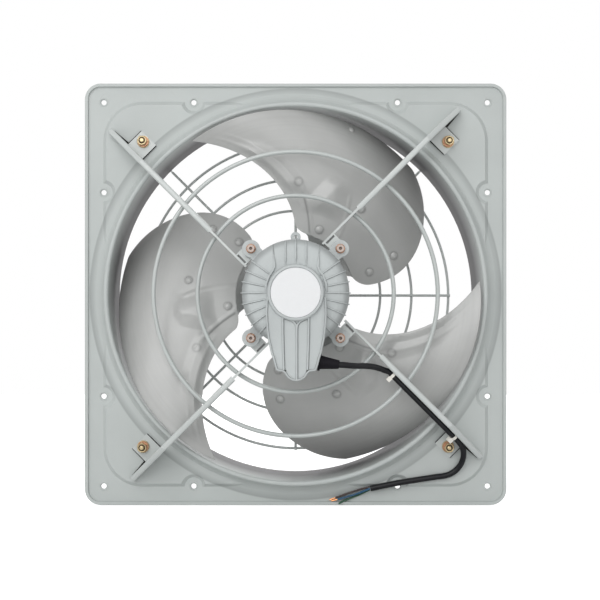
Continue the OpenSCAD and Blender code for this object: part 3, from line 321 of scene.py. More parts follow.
FINISH.update({
    "label": moulded("label_foil", (0.74, 0.75, 0.76), 0.35, 300, 0.03, 0.02),
    "ivory": moulded("ivory_moulding", (0.75, 0.72, 0.62), 0.40),
    "dark": moulded("dark_moulding", (0.05, 0.05, 0.055), 0.45),
    "boot": moulded("boot_rubber", (0.008, 0.007, 0.010), 0.5, shine=0.12),
    "jacket": moulded("cable_jacket", (0.010, 0.010, 0.012), 0.38, 700, 0.05, shine=0.22),
    "blue": moulded("blue_insulation", (0.010, 0.075, 0.16), 0.30),
    "green": moulded("green_insulation", (0.025, 0.085, 0.045), 0.30),
    "brown": moulded("brown_insulation", (0.045, 0.025, 0.022), 0.30),
    "tie": moulded("tie_nylon", (0.78, 0.76, 0.70), 0.38),
})
print(len(FINISH), "finishes")

# %% [markdown]
# Each solid now gets the finish of the real piece. The slots of the carried-over solids are filled anew,
# and the shapes stay as they were.

# %% Dress the solids
WEARS = {
    "frame": ["frame_plate"],
    "arm": ["arm_upper_right", "arm_upper_left", "arm_lower_left", "arm_lower_right"],
    "wire": ["front_ring_inner", "front_ring_outer", "rear_guard_rings", "rear_guard_spokes",
             "rear_guard_legs"],
    "blade": ["fan_spider", "blade_1", "blade_2", "blade_3", "blade_rivets", "balance_rivet"],
    "motor": ["motor_shell", "motor_end_cover", "drive_end_shield", "terminal_cover",
              "terminal_back_plate"],
    "zinc": ["foot_bolts", "foot_spring_washers", "foot_washers", "foot_nuts", "lug_washers"],
    "bright": ["lug_bolts", "lug_nuts", "shield_screws", "terminal_cover_screws", "hub_rivets",
               "hub_washer", "hub_nut", "fan_hub", "shaft_key", "wave_washer"],
    "ground": ["motor_shaft", "bearing_outer_races", "bearing_inner_races", "bearing_balls"],
    "stack": ["stator_core", "rotor_core"],
    "copper": ["stator_windings", "lead_tips"],
    "brass": ["bearing_cages"],
    "label": ["label_disc"],
    "ivory": ["terminal_block"],
    "dark": ["capacitor", "inner_leads"],
    "boot": ["cable_boot"],
    "tie": ["cable_ties"],
}
for finish, names in WEARS.items():
    for name in names:
        mesh = nodes[name].data
        mesh.materials.clear()
        mesh.materials.append(FINISH[finish])
dressed = sum(len(names) for names in WEARS.values())
cable.data.materials.append(FINISH["jacket"])
for colour, lead in leads.items():
    lead.data.materials.append(FINISH[colour])
print(dressed, "solids dressed")

# %% [markdown]
# Shade is painted into the throat of the bell, behind its bright crest, and into the crease where the
# bell's flare meets the plate. It is a matter of place alone, so the frame's paint is darkened by
# measures of
# its object coordinates: the distance from the fan's axis, and how deep a point lies behind the crest.
# The same distance draws the faint rings that years of running have rubbed into the blades.

# %% Helpers that measure a place


def math_node(tree, operation, first, second):
    node = tree.nodes.new("ShaderNodeMath")
    node.operation = operation
    for socket, value in zip(node.inputs, (first, second)):
        if isinstance(value, (int, float)):
            socket.default_value = value
        else:
            tree.links.new(value, socket)
    return node.outputs["Value"]


def measure(tree, value, low, high):
    # 0 where the value is at low and 1 where it is at high, both given in millimetres
    share = tree.nodes.new("ShaderNodeMapRange")
    share.inputs["From Min"].default_value = low * MM
    share.inputs["From Max"].default_value = high * MM
    tree.links.new(value, share.inputs["Value"])
    return share.outputs["Result"]


def from_axis(tree):
    # Distance from the fan's axis, and the depth behind the wall plane
    place = tree.nodes.new("ShaderNodeTexCoord")
    parts = tree.nodes.new("ShaderNodeSeparateXYZ")
    tree.links.new(place.outputs["Object"], parts.inputs["Vector"])
    across = math_node(tree, "MULTIPLY", parts.outputs["X"], parts.outputs["X"])
    up = math_node(tree, "MULTIPLY", parts.outputs["Z"], parts.outputs["Z"])
    return math_node(tree, "SQRT", math_node(tree, "ADD", across, up), 0), parts.outputs["Y"]


def overlay(tree, share, colour):
    # Lays a second colour over the paint by that share
    base = tree.nodes["Principled BSDF"].inputs["Base Color"]
    tree.links.new(mixed(tree, share, base.links[0].from_socket, colour), base)


# %% Painted shade on the frame, rubbed rings on the blades
THROAT_R, CREST_Z, THROAT_FADE, FOOT_R = 210, 24, 24, 233.8
THROAT_SHADE = (0.050, 0.046, 0.050, 1)
CREASE_SHADE = (0.16, 0.17, 0.17, 1)
RUBBED = (0.20, 0.20, 0.19, 1)
tree = FINISH["frame"].node_tree
radius, depth = from_axis(tree)
# Painted shade inside the throat, darker towards the back
throat = math_node(tree, "MULTIPLY", measure(tree, radius, THROAT_R + 2.2, THROAT_R + 0.4),
                   measure(tree, depth, -CREST_Z, THROAT_FADE))
overlay(tree, throat, THROAT_SHADE)
# Painted shade in the crease at the foot of the bell's flare
crease = math_node(tree, "MULTIPLY", measure(tree, radius, FOOT_R - 7, FOOT_R - 0.6),
                   measure(tree, radius, FOOT_R + 1.6, FOOT_R + 0.2))
overlay(tree, math_node(tree, "MULTIPLY", crease, 0.42), CREASE_SHADE)

tree = FINISH["blade"].node_tree
radius, _ = from_axis(tree)
rings = tree.nodes.new("ShaderNodeTexNoise")
rings.noise_dimensions = "1D"
rings.inputs["Scale"].default_value = 260
rings.inputs["Detail"].default_value = 3
tree.links.new(radius, rings.inputs["W"])
rubbed = math_node(tree, "MULTIPLY", rings.outputs["Fac"], measure(tree, radius, 120, 200))
overlay(tree, math_node(tree, "MULTIPLY", rubbed, 0.22), RUBBED)
print("bell_shade and rubbed rings laid on")

# %% [markdown]
# ## The three blades
# Each blade is one pressed sheet, cambered most near its tip, and riveted to a wing of the spider behind
# it. Near its root the press has left a shallow dish between two raised folds, which catches the light. A
# flat grid is laid out, every point of it is carried to its place on the blade, and Solidify gives the
# sheet its 1.6 mm.

# %% The surface of a blade
ROOT_R, TIP_R = 68.5, 206.5
BLADE_SHEET = 1.6


def mix(a, b, t):
    return a + (b - a) * t


def clamp(t, low=0.0, high=1.0):
    return max(low, min(high, t))


def smooth(t):
    t = clamp(t)
    return t * t * (3 - 2 * t)


def arc(degrees, r):
    # Length of an arc of that many degrees at radius r
    return degrees * r * math.pi / 180


def lead_line(r):
    return 90 + 34 * max(0, (r - 76) / (TIP_R - 76)) ** 1.35


def trail_line(r):
    return 8 + 39 * max(0, (r - 87) / (TIP_R - 87)) ** 1.9


def rounding(r, start, end):
    return 1 - math.sqrt(max(0, 1 - max(0, (start - r) / (start - end)) ** 2))


def lead_edge(r):
    return lead_line(r) - 16 * rounding(r, 80, ROOT_R)


def trail_edge(r):
    return trail_line(r) + 13 * rounding(r, 88, ROOT_R) + 4 * rounding(-r, -TIP_R + 20, -TIP_R)


def blade_height(r, a):
    # Height of the sheet's middle at radius r and angle a, in millimetres above the wall plane
    u = (lead_line(r) - a) / (lead_line(r) - trail_line(r))
    v = max(0, (r - ROOT_R) / (TIP_R - ROOT_R))
    chord = mix(mix(6, 22, v), -mix(34, 57, v), u)
    return chord + mix(8, 28, v) * 4 * u * (1 - u) * (1 + 0.6 * (1 - 2 * u))


FOLD_START, FOLD_RUN = 71, 56
FACET_TOP, UPTURN = 6.4, 4.4


def folds_at(r):
    # Angles of the left and the right fold, which turn a little on their way out
    out = clamp((r - FOLD_START) / FOLD_RUN)
    return mix(75.5, 87.5, out), mix(51.5, 61.0, out)


def pressing(r, a):
    # The press leaves two raised folds that run out from the hub, a swelling between them with one
    # flat facet, an upturned stretch of the leading edge, and two faint creases along it
    left, right = folds_at(r)
    fade = smooth((r - 66) / 8) * (1 - smooth((r - 122) / 9))
    folds = sum(math.exp(-(arc(a - edge, r) / 2.1) ** 2) for edge in (left, right))
    outward, rightward = r - 120, arc(75.0 - a, r)
    facet = clamp(FACET_TOP / 2 + 0.36 * rightward - 0.20 * outward, 0, FACET_TOP)
    facet *= smooth((r - 92) / 18) * (1 - smooth((r - 129) / 12)) * smooth((a - right + 2) / 12)
    inset = arc(lead_edge(r) - a, r)
    crease = 0.7 * math.exp(-((inset - 11) / 1.7) ** 2) + 0.5 * math.exp(-((inset - 21) / 2.2) ** 2)
    upturn = smooth((36 - inset) / 22) * (1 - smooth((13 - inset) / 11))
    upturn *= smooth((r - 112) / 16) * (1 - smooth((r - 160) / 24))
    crease *= smooth((r - 96) / 20) * smooth((202 - r) / 20)
    return folds * fade + 0.9 * facet + UPTURN * upturn + crease


# %% Painted shade round the rivets and a painted shadow along the inner fold
RIVET_SPOTS = [(123.5, 21.8), (123, 52.5), (126.5, 88.5), (90, 17.3), (78, 70)]
RIVET_HEAD, RIVET_SHADE, FOLD_SHADOW = 4.3, 0.45, 0.6


# A ring of painted shade round each rivet head and a painted shadow beside the inner fold
def blade_shade(r, a):
    shade_share = 0
    for spot_r, spot_a in RIVET_SPOTS:
        away = math.hypot(r - spot_r, arc(a - spot_a, spot_r))
        shade_share = max(shade_share, RIVET_SHADE * math.exp(-((away - RIVET_HEAD) / 1.2) ** 2))
    beside = arc(a - folds_at(r)[0], r)
    along_fold = smooth((r - 68) / 6) * (1 - smooth((r - 104) / 16))
    return max(shade_share, FOLD_SHADOW * math.exp(-((beside - 2.2) / 1.2) ** 2) * along_fold)


# %% [markdown]
# Three habits keep the pieces clean. Nothing is left selected before something new is made, one piece is
# picked by itself before it is changed, and its modifiers are applied, so that what is shown is real
# geometry.

# %% Helpers that select, thicken and finish a piece


def deselect():
    if bpy.context.object and bpy.context.object.mode != "OBJECT":
        bpy.ops.object.mode_set(mode="OBJECT")
    bpy.ops.object.select_all(action="DESELECT")


def pick(piece):
    deselect()
    bpy.context.view_layer.objects.active = piece
    piece.select_set(True)


def apply_modifiers(piece):
    pick(piece)
    for modifier in list(piece.modifiers):
        bpy.ops.object.modifier_apply(modifier=modifier.name)


def thicken(piece, thickness, offset):
    sheet = piece.modifiers.new("sheet", "SOLIDIFY")
    sheet.thickness = thickness * MM
    sheet.offset = offset


def round_rims(piece, width):
    rim = piece.modifiers.new("rim", "BEVEL")
    rim.width = width * MM
    rim.segments = 2
    rim.angle_limit = math.radians(50)


def finish_piece(piece, body, finish, stands_for=(), angle=35):
    apply_modifiers(piece)
    bpy.ops.object.transform_apply(location=True, rotation=True, scale=True)
    bpy.ops.object.shade_smooth_by_angle(angle=math.radians(angle))
    piece.data.update()
    piece.data.materials.clear()
    piece.data.materials.append(FINISH[finish])
    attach(piece, body)
    if stands_for:
        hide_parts(*stands_for)
    deselect()
    return piece


# %% A grid carried to its place, with a share of painted shade at every point


def carried_grid(name, across, along, place):
    # place(c, v) gives a bench point and the painted shade there, for c and v from 0 to 1
    deselect()
    bpy.ops.mesh.primitive_grid_add(x_subdivisions=across, y_subdivisions=along, size=2)
    piece = bpy.context.object
    piece.name = name
    painted_shade = piece.data.attributes.new("painted_shade", "FLOAT", "POINT")
    for vertex, shade_share in zip(piece.data.vertices, painted_shade.data):
        spot, shade_share.value = place((vertex.co.x + 1) / 2, (vertex.co.y + 1) / 2)
        vertex.co = on_bench(*spot)
    return piece


# %% Press the blades


def blade_place(k):
    def place(c, v):
        tip = TIP_R - 3 * max(0, (c - 0.6) / 0.4) ** 2
        r = ROOT_R + (tip - ROOT_R) * (0.55 * v ** 1.5 + 0.45 * (1 - (1 - v) ** 2))
        a = mix(lead_edge(r), trail_edge(r), c)
        turn = math.radians(a + 120 * k)
        height = blade_height(r, a) + pressing(r, a)
        return (r * math.cos(turn), r * math.sin(turn), height), blade_shade(r, a)
    return place


for k in range(3):
    blade = carried_grid(f"pressed_blade_{k + 1}", 150, 110, blade_place(k))
    thicken(blade, BLADE_SHEET, 0)
    round_rims(blade, 0.45)
    finish_piece(blade, "rotor", "blade", [f"blade_{k + 1}"])
    print(blade.name, len(blade.data.polygons), "faces")

# %% [markdown]
# ## The finned end cover
# The motor's outer cover is a sand casting: a shallow dome with thin cooling ribs, straight above the
# label and radial at the sides. A grid wrapped round the axis gives the dome, and it lets every point
# carry a little painted shade where it lies close to a rib, more on the rib's lower or right side, and on
# the outer shoulder: that paints the dark outlines of the ribs on the real casting.

# %% The shape of the dome
DOME = [(27, 96), (31, 96), (39, 95.4), (46, 94), (50, 92), (53, 89.4), (55.4, 86), (56.9, 82),
        (57.5, 77), (57.5, 57.1)]
HEAD_R, RIM_R = 31, 57.3
FIN_ANGLES = [12 * k for k in range(-4, 4)] + [180 + 12 * k for k in range(-3, 5)]
FIN_PLACES = [-10.8, 0.2, 11]
SHOULDERS = [[(-24.4, 51.6), (-22.9, 38), (-22, 27.5), (-24, 23.4), (-27.6, 18), (-30.6, 10), (-31.4, 0)],
             [(25.4, 51.2), (24.2, 38), (23.4, 27), (25.2, 23), (28.8, 18), (31.8, 10), (32.6, 0)]]


def along_dome(t):
    # Point of the dome's profile after the share t of its length: radius and height
    lengths = [math.dist(a, b) for a, b in zip(DOME, DOME[1:])]
    left = clamp(t) * sum(lengths)
    for a, b, length in zip(DOME, DOME[1:], lengths):
        if left <= length:
            return mix(a[0], b[0], left / length), mix(a[1], b[1], left / length)
        left -= length
    return DOME[-1]


def dome_height(r):
    for (r0, z0), (r1, z1) in zip(DOME, DOME[1:]):
        if r <= r1 and r1 > r0:
            return mix(z0, z1, clamp((r - r0) / (r1 - r0)))
    return DOME[-2][1]


def at_height(line, y):
    # Where a shoulder rib stands at height y
    for (x0, y0), (x1, y1) in zip(line, line[1:]):
        if y >= y1:
            return mix(x0, x1, clamp((y0 - y) / (y0 - y1)))
    return line[-1][0]


def near_fin(x, y):
    # Distance to the nearest rib's middle plane, negative on its lower or right side
    r = math.hypot(x, y)
    a = math.degrees(math.atan2(y, x))
    gaps = [arc((a - f + 180) % 360 - 180, r) * (1 if abs(f) < 90 else -1) for f in FIN_ANGLES]
    if y > 0:
        gaps += [place - x for place in FIN_PLACES]
        gaps += [at_height(line, y) - x for line in SHOULDERS]
    return min(gaps, key=abs)


# %% The dome


def dome_place(c, v):
    r, z = along_dome(v)
    a = math.tau * c
    x, y = -r * math.cos(a), r * math.sin(a)
    gap = near_fin(x, y)
    # Painted shade beside each rib, more on its lower or right side, and on the outer shoulder
    shade_share = (0.8 if gap < 0 else 0.25) * smooth(1 - (abs(gap) - 0.6) / 0.9)
    return (x, y, z), max(shade_share, 0.35 * smooth((r - 49) / 6)) * smooth((r - 29) / 4)


def seal(piece, merge=0.02):
    # Closes the seam where a grid meets itself and turns the faces outwards
    pick(piece)
    bpy.ops.object.mode_set(mode="EDIT")
    bpy.ops.mesh.select_all(action="SELECT")
    bpy.ops.mesh.remove_doubles(threshold=merge * MM)
    bpy.ops.mesh.normals_make_consistent(inside=False)
    bpy.ops.object.mode_set(mode="OBJECT")
    return piece


dome = seal(carried_grid("finned_end_cover", 720, 44, dome_place))
thicken(dome, 2.5, -1)
print(len(dome.data.polygons), "faces on the dome")

# %% The ribs


def rib(name, foot_of, height=1.5, width=1.2):
    # foot_of(c) gives the bench point on the dome, and the outward direction there
    def place(c, v):
        x, y, z, nx, ny, nz = foot_of(c)
        crest = 0.1 + smooth(c * 9) * mix(height, -0.2, smooth((c - 0.60) / 0.22))
        out = mix(-1.5, crest, v)
        # Painted shade on the outer part of each rib
        return (x + out * nx, y + out * ny, z + out * nz), 0.3 * smooth((c - 0.6) / 0.2)

    fin = carried_grid(name, 40, 3, place)
    thicken(fin, width, 0)
    round_rims(fin, 0.3)
    return fin


def radial_foot(angle):
    def foot_of(c):
        t = mix(0.075, 0.99, c)
        (r0, z0), (r1, z1) = along_dome(t - 0.01), along_dome(t + 0.01)
        r, z = along_dome(t)
        length = math.hypot(r1 - r0, z1 - z0)
        out, up = -(z1 - z0) / length, (r1 - r0) / length
        a = math.radians(angle)
        return r * math.cos(a), r * math.sin(a), z, out * math.cos(a), out * math.sin(a), up
    return foot_of


def straight_foot(x):
    inner = math.sqrt(HEAD_R ** 2 - x * x)
    rim = math.sqrt(RIM_R ** 2 - x * x)

    def foot_of(c):
        if c < 0.8:
            y = mix(inner, rim, (c / 0.8) ** 0.8)
            return x, y, dome_height(math.hypot(x, y)), 0, 0.35 * c, 1
        return x, rim, mix(dome_height(RIM_R), 58, (c - 0.8) / 0.2), 0, 1, 0.1
    return foot_of


def shoulder_foot(line):
    lengths = [math.dist(a, b) for a, b in zip(line, line[1:])]

    def foot_of(c):
        left = (1 - c) * sum(lengths)
        for a, b, length in zip(line, line[1:], lengths):
            if left <= length:
                break
            left -= length
        x, y = (mix(p, q, min(1, left / length)) for p, q in zip(a, b))
        return x, y, dome_height(math.hypot(x, y)), 0, 0, 1
    return foot_of


ribs = [rib(f"rib_{angle}", radial_foot(angle)) for angle in FIN_ANGLES]
ribs += [rib(f"rib_top_{k}", straight_foot(x)) for k, x in enumerate(FIN_PLACES)]
ribs += [rib(f"shoulder_rib_{k}", shoulder_foot(line), 2.4, 1.7) for k, line in enumerate(SHOULDERS)]
print(len(ribs), "ribs")

# %% Ears of the cover


def turned(name, profile, spot=(0, 0, 0), steps=48):
    # A closed outline of radius and height, turned about an axis that runs out of the wall through spot
    deselect()
    bpy.ops.mesh.primitive_circle_add(vertices=len(profile), radius=1)
    piece = bpy.context.object
    piece.name = name
    for vertex, (r, z) in zip(piece.data.vertices, profile):
        vertex.co = on_bench(spot[0] + r, spot[1], spot[2] + z)
    bpy.ops.object.mode_set(mode="EDIT")
    bpy.ops.mesh.select_all(action="SELECT")
    bpy.ops.mesh.spin(steps=steps, angle=math.tau, center=on_bench(*spot), axis=(0, 1, 0))
    bpy.ops.object.mode_set(mode="OBJECT")
    return seal(piece, 0.002)


def join(pieces):
    for piece in pieces:
        apply_modifiers(piece)
    deselect()
    for piece in pieces:
        piece.select_set(True)
    bpy.context.view_layer.objects.active = pieces[0]
    bpy.ops.object.join()
    return pieces[0]


def round_about(piece, name, angle):
    # A copy with its own mesh, turned about the fan's axis
    twin = piece.copy()
    twin.data = piece.data.copy()
    twin.name = name
    bpy.context.scene.collection.objects.link(twin)
    twin.data.transform(Matrix.Rotation(-math.radians(angle), 4, "Y"))
    return twin


EAR = [(2.9, 57.2), (9.2, 57.2), (9.6, 57.6), (9.6, 60.6), (9.1, 61.1), (2.9, 61.1)]
BOLT_R = 68.4 * HALF
ear = turned("ear", EAR, (BOLT_R, BOLT_R, 0))
NECK_X, NECK_Z = BOLT_R - 6.5, 59.1
deselect()
bpy.ops.mesh.primitive_cube_add(size=1, location=on_bench(NECK_X, NECK_X, NECK_Z),
                                rotation=(0, -math.pi / 4, 0))
neck = bpy.context.object
neck.scale = (17 * MM, 3.8 * MM, 15 * MM)
bpy.ops.object.transform_apply(location=True, rotation=True, scale=True)
ears = [join([ear, neck])]
ears += [round_about(ears[0], f"ear_{k}", 90 * k) for k in (1, 2, 3)]
EYE = [(2.0, 57.2), (5.0, 57.2), (5.4, 57.6), (5.4, 60.7), (5.0, 61.1), (2.0, 61.1)]
eye = turned("lifting_eye", EYE, (0, 61.1, 0))
cover = join([dome] + ribs + ears + [eye])
finish_piece(cover, "frame", "motor", ["motor_end_cover"], angle=32)
print(cover.name, len(cover.data.polygons), "faces")

# %% [markdown]
# ## The terminal cover
# A second casting carries the label in a round head and reaches down over the terminals like a tongue.
# Its front has four shallow flutes between thin ridges, the middle ridge forks into a Y under the label,
# and a bead runs all along the edge. The edge is one strip carried along the outline, and the fluted face
# is a grid whose points sink between the ridges, so that each ridge stays sharp without a cut.

# %% The outline of the tongue
FLANK = [(30.6, 0), (31.6, -10), (32.1, -22), (31.4, -34), (29.9, -47), (27.3, -60),
         (23.8, -72), (21.6, -80)]
LOBE_LOW, LOBE_R = -92.5, 12.6
CORNER_R = 3.6
LEAN = 0.7


def tongue_half(y):
    # Half the tongue's width at height y
    for (w0, y0), (w1, y1) in zip(FLANK, FLANK[1:]):
        if y >= y1:
            t = (y0 - y) / (y0 - y1)
            return mix(w0, w1, smooth(t) * 0.3 + 0.7 * clamp(t))
    return FLANK[-1][0]


def half_outline():
    # Right half of the outline, from the head down to the lowest point of the lobe
    points = [(tongue_half(y), y) for y in [-4 - 3.1 * k for k in range(25)]]
    corner = (tongue_half(-79) - CORNER_R, -78.6)
    points += [(corner[0] + CORNER_R * math.cos(a), corner[1] + CORNER_R * math.sin(a))
               for a in [-math.radians(10 + 13.3 * k) for k in range(7)]]
    points += [(15.6, -82.4), (13.8, -82.9), (12.6, -84)]
    centre = LOBE_LOW + LOBE_R
    points += [(12.9 * math.sin(a), centre - LOBE_R * math.cos(a))
               for a in [math.radians(66 - 6.6 * k) for k in range(11)]]
    return points


right_side = half_outline()
outline = [(x + LEAN, y) for x, y in right_side] + [(LEAN - x, y) for x, y in reversed(right_side[:-1])]
print(len(outline), "points round the tongue")

# %% The edge with its bead
EDGE = [(2.2, 75), (2.2, 72), (0.3, 72), (0, 72.3), (0, 101.6), (0.25, 103.0), (0.85, 103.9),
        (1.5, 104.1), (2.1, 103.6), (2.4, 102.6), (2.4, 101.8)]


def edge_place(c, v):
    i = round(c * (len(outline) - 1))
    before, after = outline[max(0, i - 1)], outline[min(len(outline) - 1, i + 1)]
    dx, dy = after[0] - before[0], after[1] - before[1]
    length = math.hypot(dx, dy)
    inset, z = EDGE[round(v * (len(EDGE) - 1))]
    x, y = outline[i]
    # Painted shade in the groove on the inner side of the bead
    shade_share = 0.9 * smooth((inset - 1.9) / 0.5) * (z > 101)
    return (x + inset * dy / length, y - inset * dx / length, z), shade_share


edge = carried_grid("terminal_cover_edge", len(outline) - 1, len(EDGE) - 1, edge_place)
print(len(edge.data.polygons), "faces on the edge")

# %% The fluted face
FACE_Z, FLUTE = 103.9, 13.4
RIDGES = [[(13.9, -20), (13.4, -50), (12.2, -84)], [(-13.6, -20), (-13.2, -50), (-12.2, -84)],
          [(1.2, -38), (1.2, -93)],
          [(1.2, -38), (1.9, -33.5), (4.4, -30.2), (8.2, -28.2), (13.4, -26.4)],
          [(1.2, -38), (0.5, -33.5), (-2.0, -30.2), (-5.8, -28.2), (-13.2, -26)]]


def to_line(x, y, line):
    best = 99
    for (ax, ay), (bx, by) in zip(line, line[1:]):
        t = clamp(((x - ax) * (bx - ax) + (y - ay) * (by - ay)) / ((bx - ax) ** 2 + (by - ay) ** 2))
        best = min(best, math.hypot(x - mix(ax, bx, t), y - mix(ay, by, t)))
    return best


def lower_end(x):
    # Where the face ends at the bottom, just under the bead
    if abs(x) < 11.4:
        return LOBE_LOW + LOBE_R - math.sqrt(LOBE_R ** 2 - x * x) * 0.86 - 0.2
    return -80.6


def face_place(c, v):
    side = 2 * c - 1
    y = mix(-4, lower_end(side * 21.6), v)
    x = side * (tongue_half(y) - 1.9) + LEAN
    ridge = min(to_line(x, y, line) for line in RIDGES)
    shade = min(to_line(x - 0.9, y + 0.5, line) for line in RIDGES)
    sunk = smooth((ridge - 0.7) / 0.7)
    flute = 0.5 * (1 - min(1, abs((abs(x) % FLUTE) - FLUTE / 2) / (FLUTE / 2)) ** 2)
    # Painted shade along each ridge, more on its lower right side
    shade_share = smooth(1 - abs(ridge - 1.2) / 0.8) * mix(0.95, 0.25, smooth((shade - ridge + 0.7) / 1.1))
    return (x, y, FACE_Z - 1.5 * sunk - flute), shade_share


face = carried_grid("terminal_cover_face", 132, 190, face_place)
HEAD = [(0, 96.1), (30.6, 96.1), (30.4, 99), (29.4, 104.6), (28.9, 106.0), (28.2, 106.5),
        (27.2, 106.6), (26.5, 106.2), (26.3, 105.0), (0, 105.0)]
head = turned("label_head", HEAD, steps=128)
terminal_cover = join([edge, face, head])
finish_piece(terminal_cover, "frame", "motor", ["terminal_cover"], angle=32)
print(terminal_cover.name, len(terminal_cover.data.polygons), "faces")

# %% [markdown]
# ## Bolts
# The arms are bolted to the motor's ears and to the frame. A hexagon head is a grid wrapped round its
# axis whose outer rows follow six flats and whose inner rows are round: that gives the chamfered corners
# and the turned dimple or thread end in one piece. Each is made once and copied round the fan.

# %% A hexagon head or nut


def hexagon(name, across, low, high, spot, middle):
    # middle: (radius, height, painted shade) from the axis out to the flat front face
    def flats(angle):
        return across / 2 / math.cos((angle + math.pi / 6) % (math.pi / 3) - math.pi / 6)

    def place(c, v):
        a = math.tau * c
        round_r = across * 0.475
        corner = max(0, flats(a) - round_r) * 0.55
        # The third number is painted shade, darker down the flats towards the head's underside
        rings = middle + [(round_r, high, 0.05), (flats(a), high - 0.25 - corner, 0.12),
                          (flats(a), low, 0.3), (0.01, low, 0)]
        r, z, shade_share = rings[round(v * rows)]
        return (spot[0] + r * math.cos(a), spot[1] + r * math.sin(a), z), shade_share

    rows = len(middle) + 3
    return seal(carried_grid(name, 72, rows, place), 0.015)


def four_round(piece, stem):
    return join([piece] + [round_about(piece, f"{stem}_{k}", 90 * k) for k in (1, 2, 3)])


def ring_of_four(name, profile, spot, finish, stands_for):
    ring = four_round(turned(name, profile, spot + (0,), 40), name)
    return finish_piece(ring, "frame", finish, [stands_for], angle=28)


# %% Bolts and washers at the motor
LUG = (BOLT_R, BOLT_R)
# The third number of each point is painted shade in the hollow of the head.
LUG_END = [(0, 65.2, 0.7), (0.9, 65.3, 0.7), (1.4, 65.9, 0.5), (1.9, 66.2, 0.05)]
LUG_SHANK = [(0, 44.2), (2.2, 44.2), (2.5, 44.6), (2.5, 62.4), (0, 62.4)]
LUG_WASHER = [(2.7, 61.2), (4.9, 61.2), (5.2, 61.5), (5.15, 62.0), (4.8, 62.3), (2.7, 62.3)]
lug_head = hexagon("lug_bolt_head", 8.2, 62.4, 66.2, LUG, LUG_END)
lug_shank = turned("lug_bolt_shank", LUG_SHANK, LUG + (0,), 24)
lug_bolts = four_round(join([lug_head, lug_shank]), "lug_bolt")
finish_piece(lug_bolts, "frame", "pale", ["lug_bolts"], angle=28)
ring_of_four("lug_bolt_washers", LUG_WASHER, LUG, "rose", "lug_washers")
print(len(lug_bolts.data.polygons), "faces on the four bolts at the motor")

# %% Bolts and washers at the feet
FOOT_BOLT = 245 * HALF
FOOT = (FOOT_BOLT, FOOT_BOLT)
SLACK = (FOOT_BOLT - 0.7, FOOT_BOLT - 0.7)
# The third number of each point is painted shade, darkest in the groove round the thread end.
THREAD_END = [(0, 16.9, 0), (1.7, 16.8, 0), (2.5, 16.3, 0), (2.8, 15.6, 0.1), (2.85, 14.6, 1),
              (3.5, 14.5, 1), (3.7, 15.2, 0.5)]
FOOT_SHANK = [(0, 0.7), (2.6, 0.7), (3, 1.2), (3, 11.1), (0, 11.1)]
SPRING_RING = [(3.6, 9.4), (5.9, 9.4), (6.2, 9.7), (6.2, 10.7), (5.9, 11.0), (3.6, 11.0)]
FLAT_RING = [(3.6, 7.95), (6.7, 7.95), (6.95, 8.2), (6.9, 9.0), (6.6, 9.3), (3.6, 9.3)]
foot_head = hexagon("foot_bolt_head", 10, 11.05, 15.3, FOOT, THREAD_END)
foot_shank = turned("foot_bolt_shank", FOOT_SHANK, FOOT + (0,), 24)
foot_bolts = four_round(join([foot_head, foot_shank]), "foot_bolt")
finish_piece(foot_bolts, "frame", "zinc", ["foot_bolts"], angle=28)
ring_of_four("foot_spring_ring", SPRING_RING, SLACK, "rose", "foot_spring_washers")
ring_of_four("foot_flat_ring", FLAT_RING, SLACK, "zinc", "foot_washers")
print(len(foot_bolts.data.polygons), "faces on the four bolts at the feet")

# %% [markdown]
# ## Where the arms meet the plate and the motor
# Each foot tab is folded out of its arm. The joint under the tab's two ends and the wedge under the arm's
# free tip lie in shade, and thin dark strips laid exactly there paint that shade as dark lines.

# %% Painted shade at the feet's joints


def strip(name, corners, low, high):
    # A thin block over four corners in turn, each given as (along, side) of the upper right arm
    def place(c, v):
        x = mix(mix(corners[0][0], corners[1][0], c), mix(corners[3][0], corners[2][0], c), v)
        y = mix(mix(corners[0][1], corners[1][1], c), mix(corners[3][1], corners[2][1], c), v)
        # Every point carries full painted shade
        return ((x - y) * HALF, (x + y) * HALF, high), 1.0

    piece = carried_grid(name, 12, 2, place)
    thicken(piece, high - low, -1)
    return piece


# The strips' near-black finish is painted shade
FINISH["gap"] = moulded("painted_gap_shade", (0.030, 0.028, 0.027), 0.85, 600, 0.1, 0.3, shine=0.05)
joint = join([strip("outer_joint_shade", [(254.0, -7.4), (254.0, 16), (255.3, 16), (255.1, -7.4)], 5.55, 6.3),
              strip("inner_joint_shade", [(230.5, -7.0), (230.2, 16), (231.4, 16), (231.3, -7.0)], 5.55, 6.3),
              strip("tip_shadow", [(254.5, 12.0), (276.5, 14.0), (278, 16.2), (254.5, 16.2)], 5.55, 6.0)])
joint = finish_piece(four_round(joint, "foot_shade_strip"), "frame", "gap")
print(joint.name, len(joint.data.polygons), "faces")

# %% [markdown]
# ## The fixing holes
# Each of the twelve holes is punched with a dimple, so that a screw head beds down in it. A small outline
# turned about the hole's axis is the plainest way to a round lip and a cone in one.

# %% A dimple in each fixing hole
HOLE_ROW, SIDE_HOLE = 218.5, 116
spots = [(sx * HOLE_ROW, sy * HOLE_ROW) for sx in (-1, 1) for sy in (-1, 1)]
spots += [spot for a in (-SIDE_HOLE, SIDE_HOLE) for b in (-HOLE_ROW, HOLE_ROW)
          for spot in ((a, b), (b, a))]
LIP = [(2.9, 0.1), (3.0, 0.5), (3.9, 1.75), (4.4, 2.0), (4.9, 1.9), (5.6, 1.4), (3.6, 1.4), (3.3, 0.1)]
lips = [turned(f"hole_lip_{k}", LIP, (x, y, 0), 32) for k, (x, y) in enumerate(spots)]
finish_piece(join(lips), "frame", "frame")
print(len(lips), "dimples")

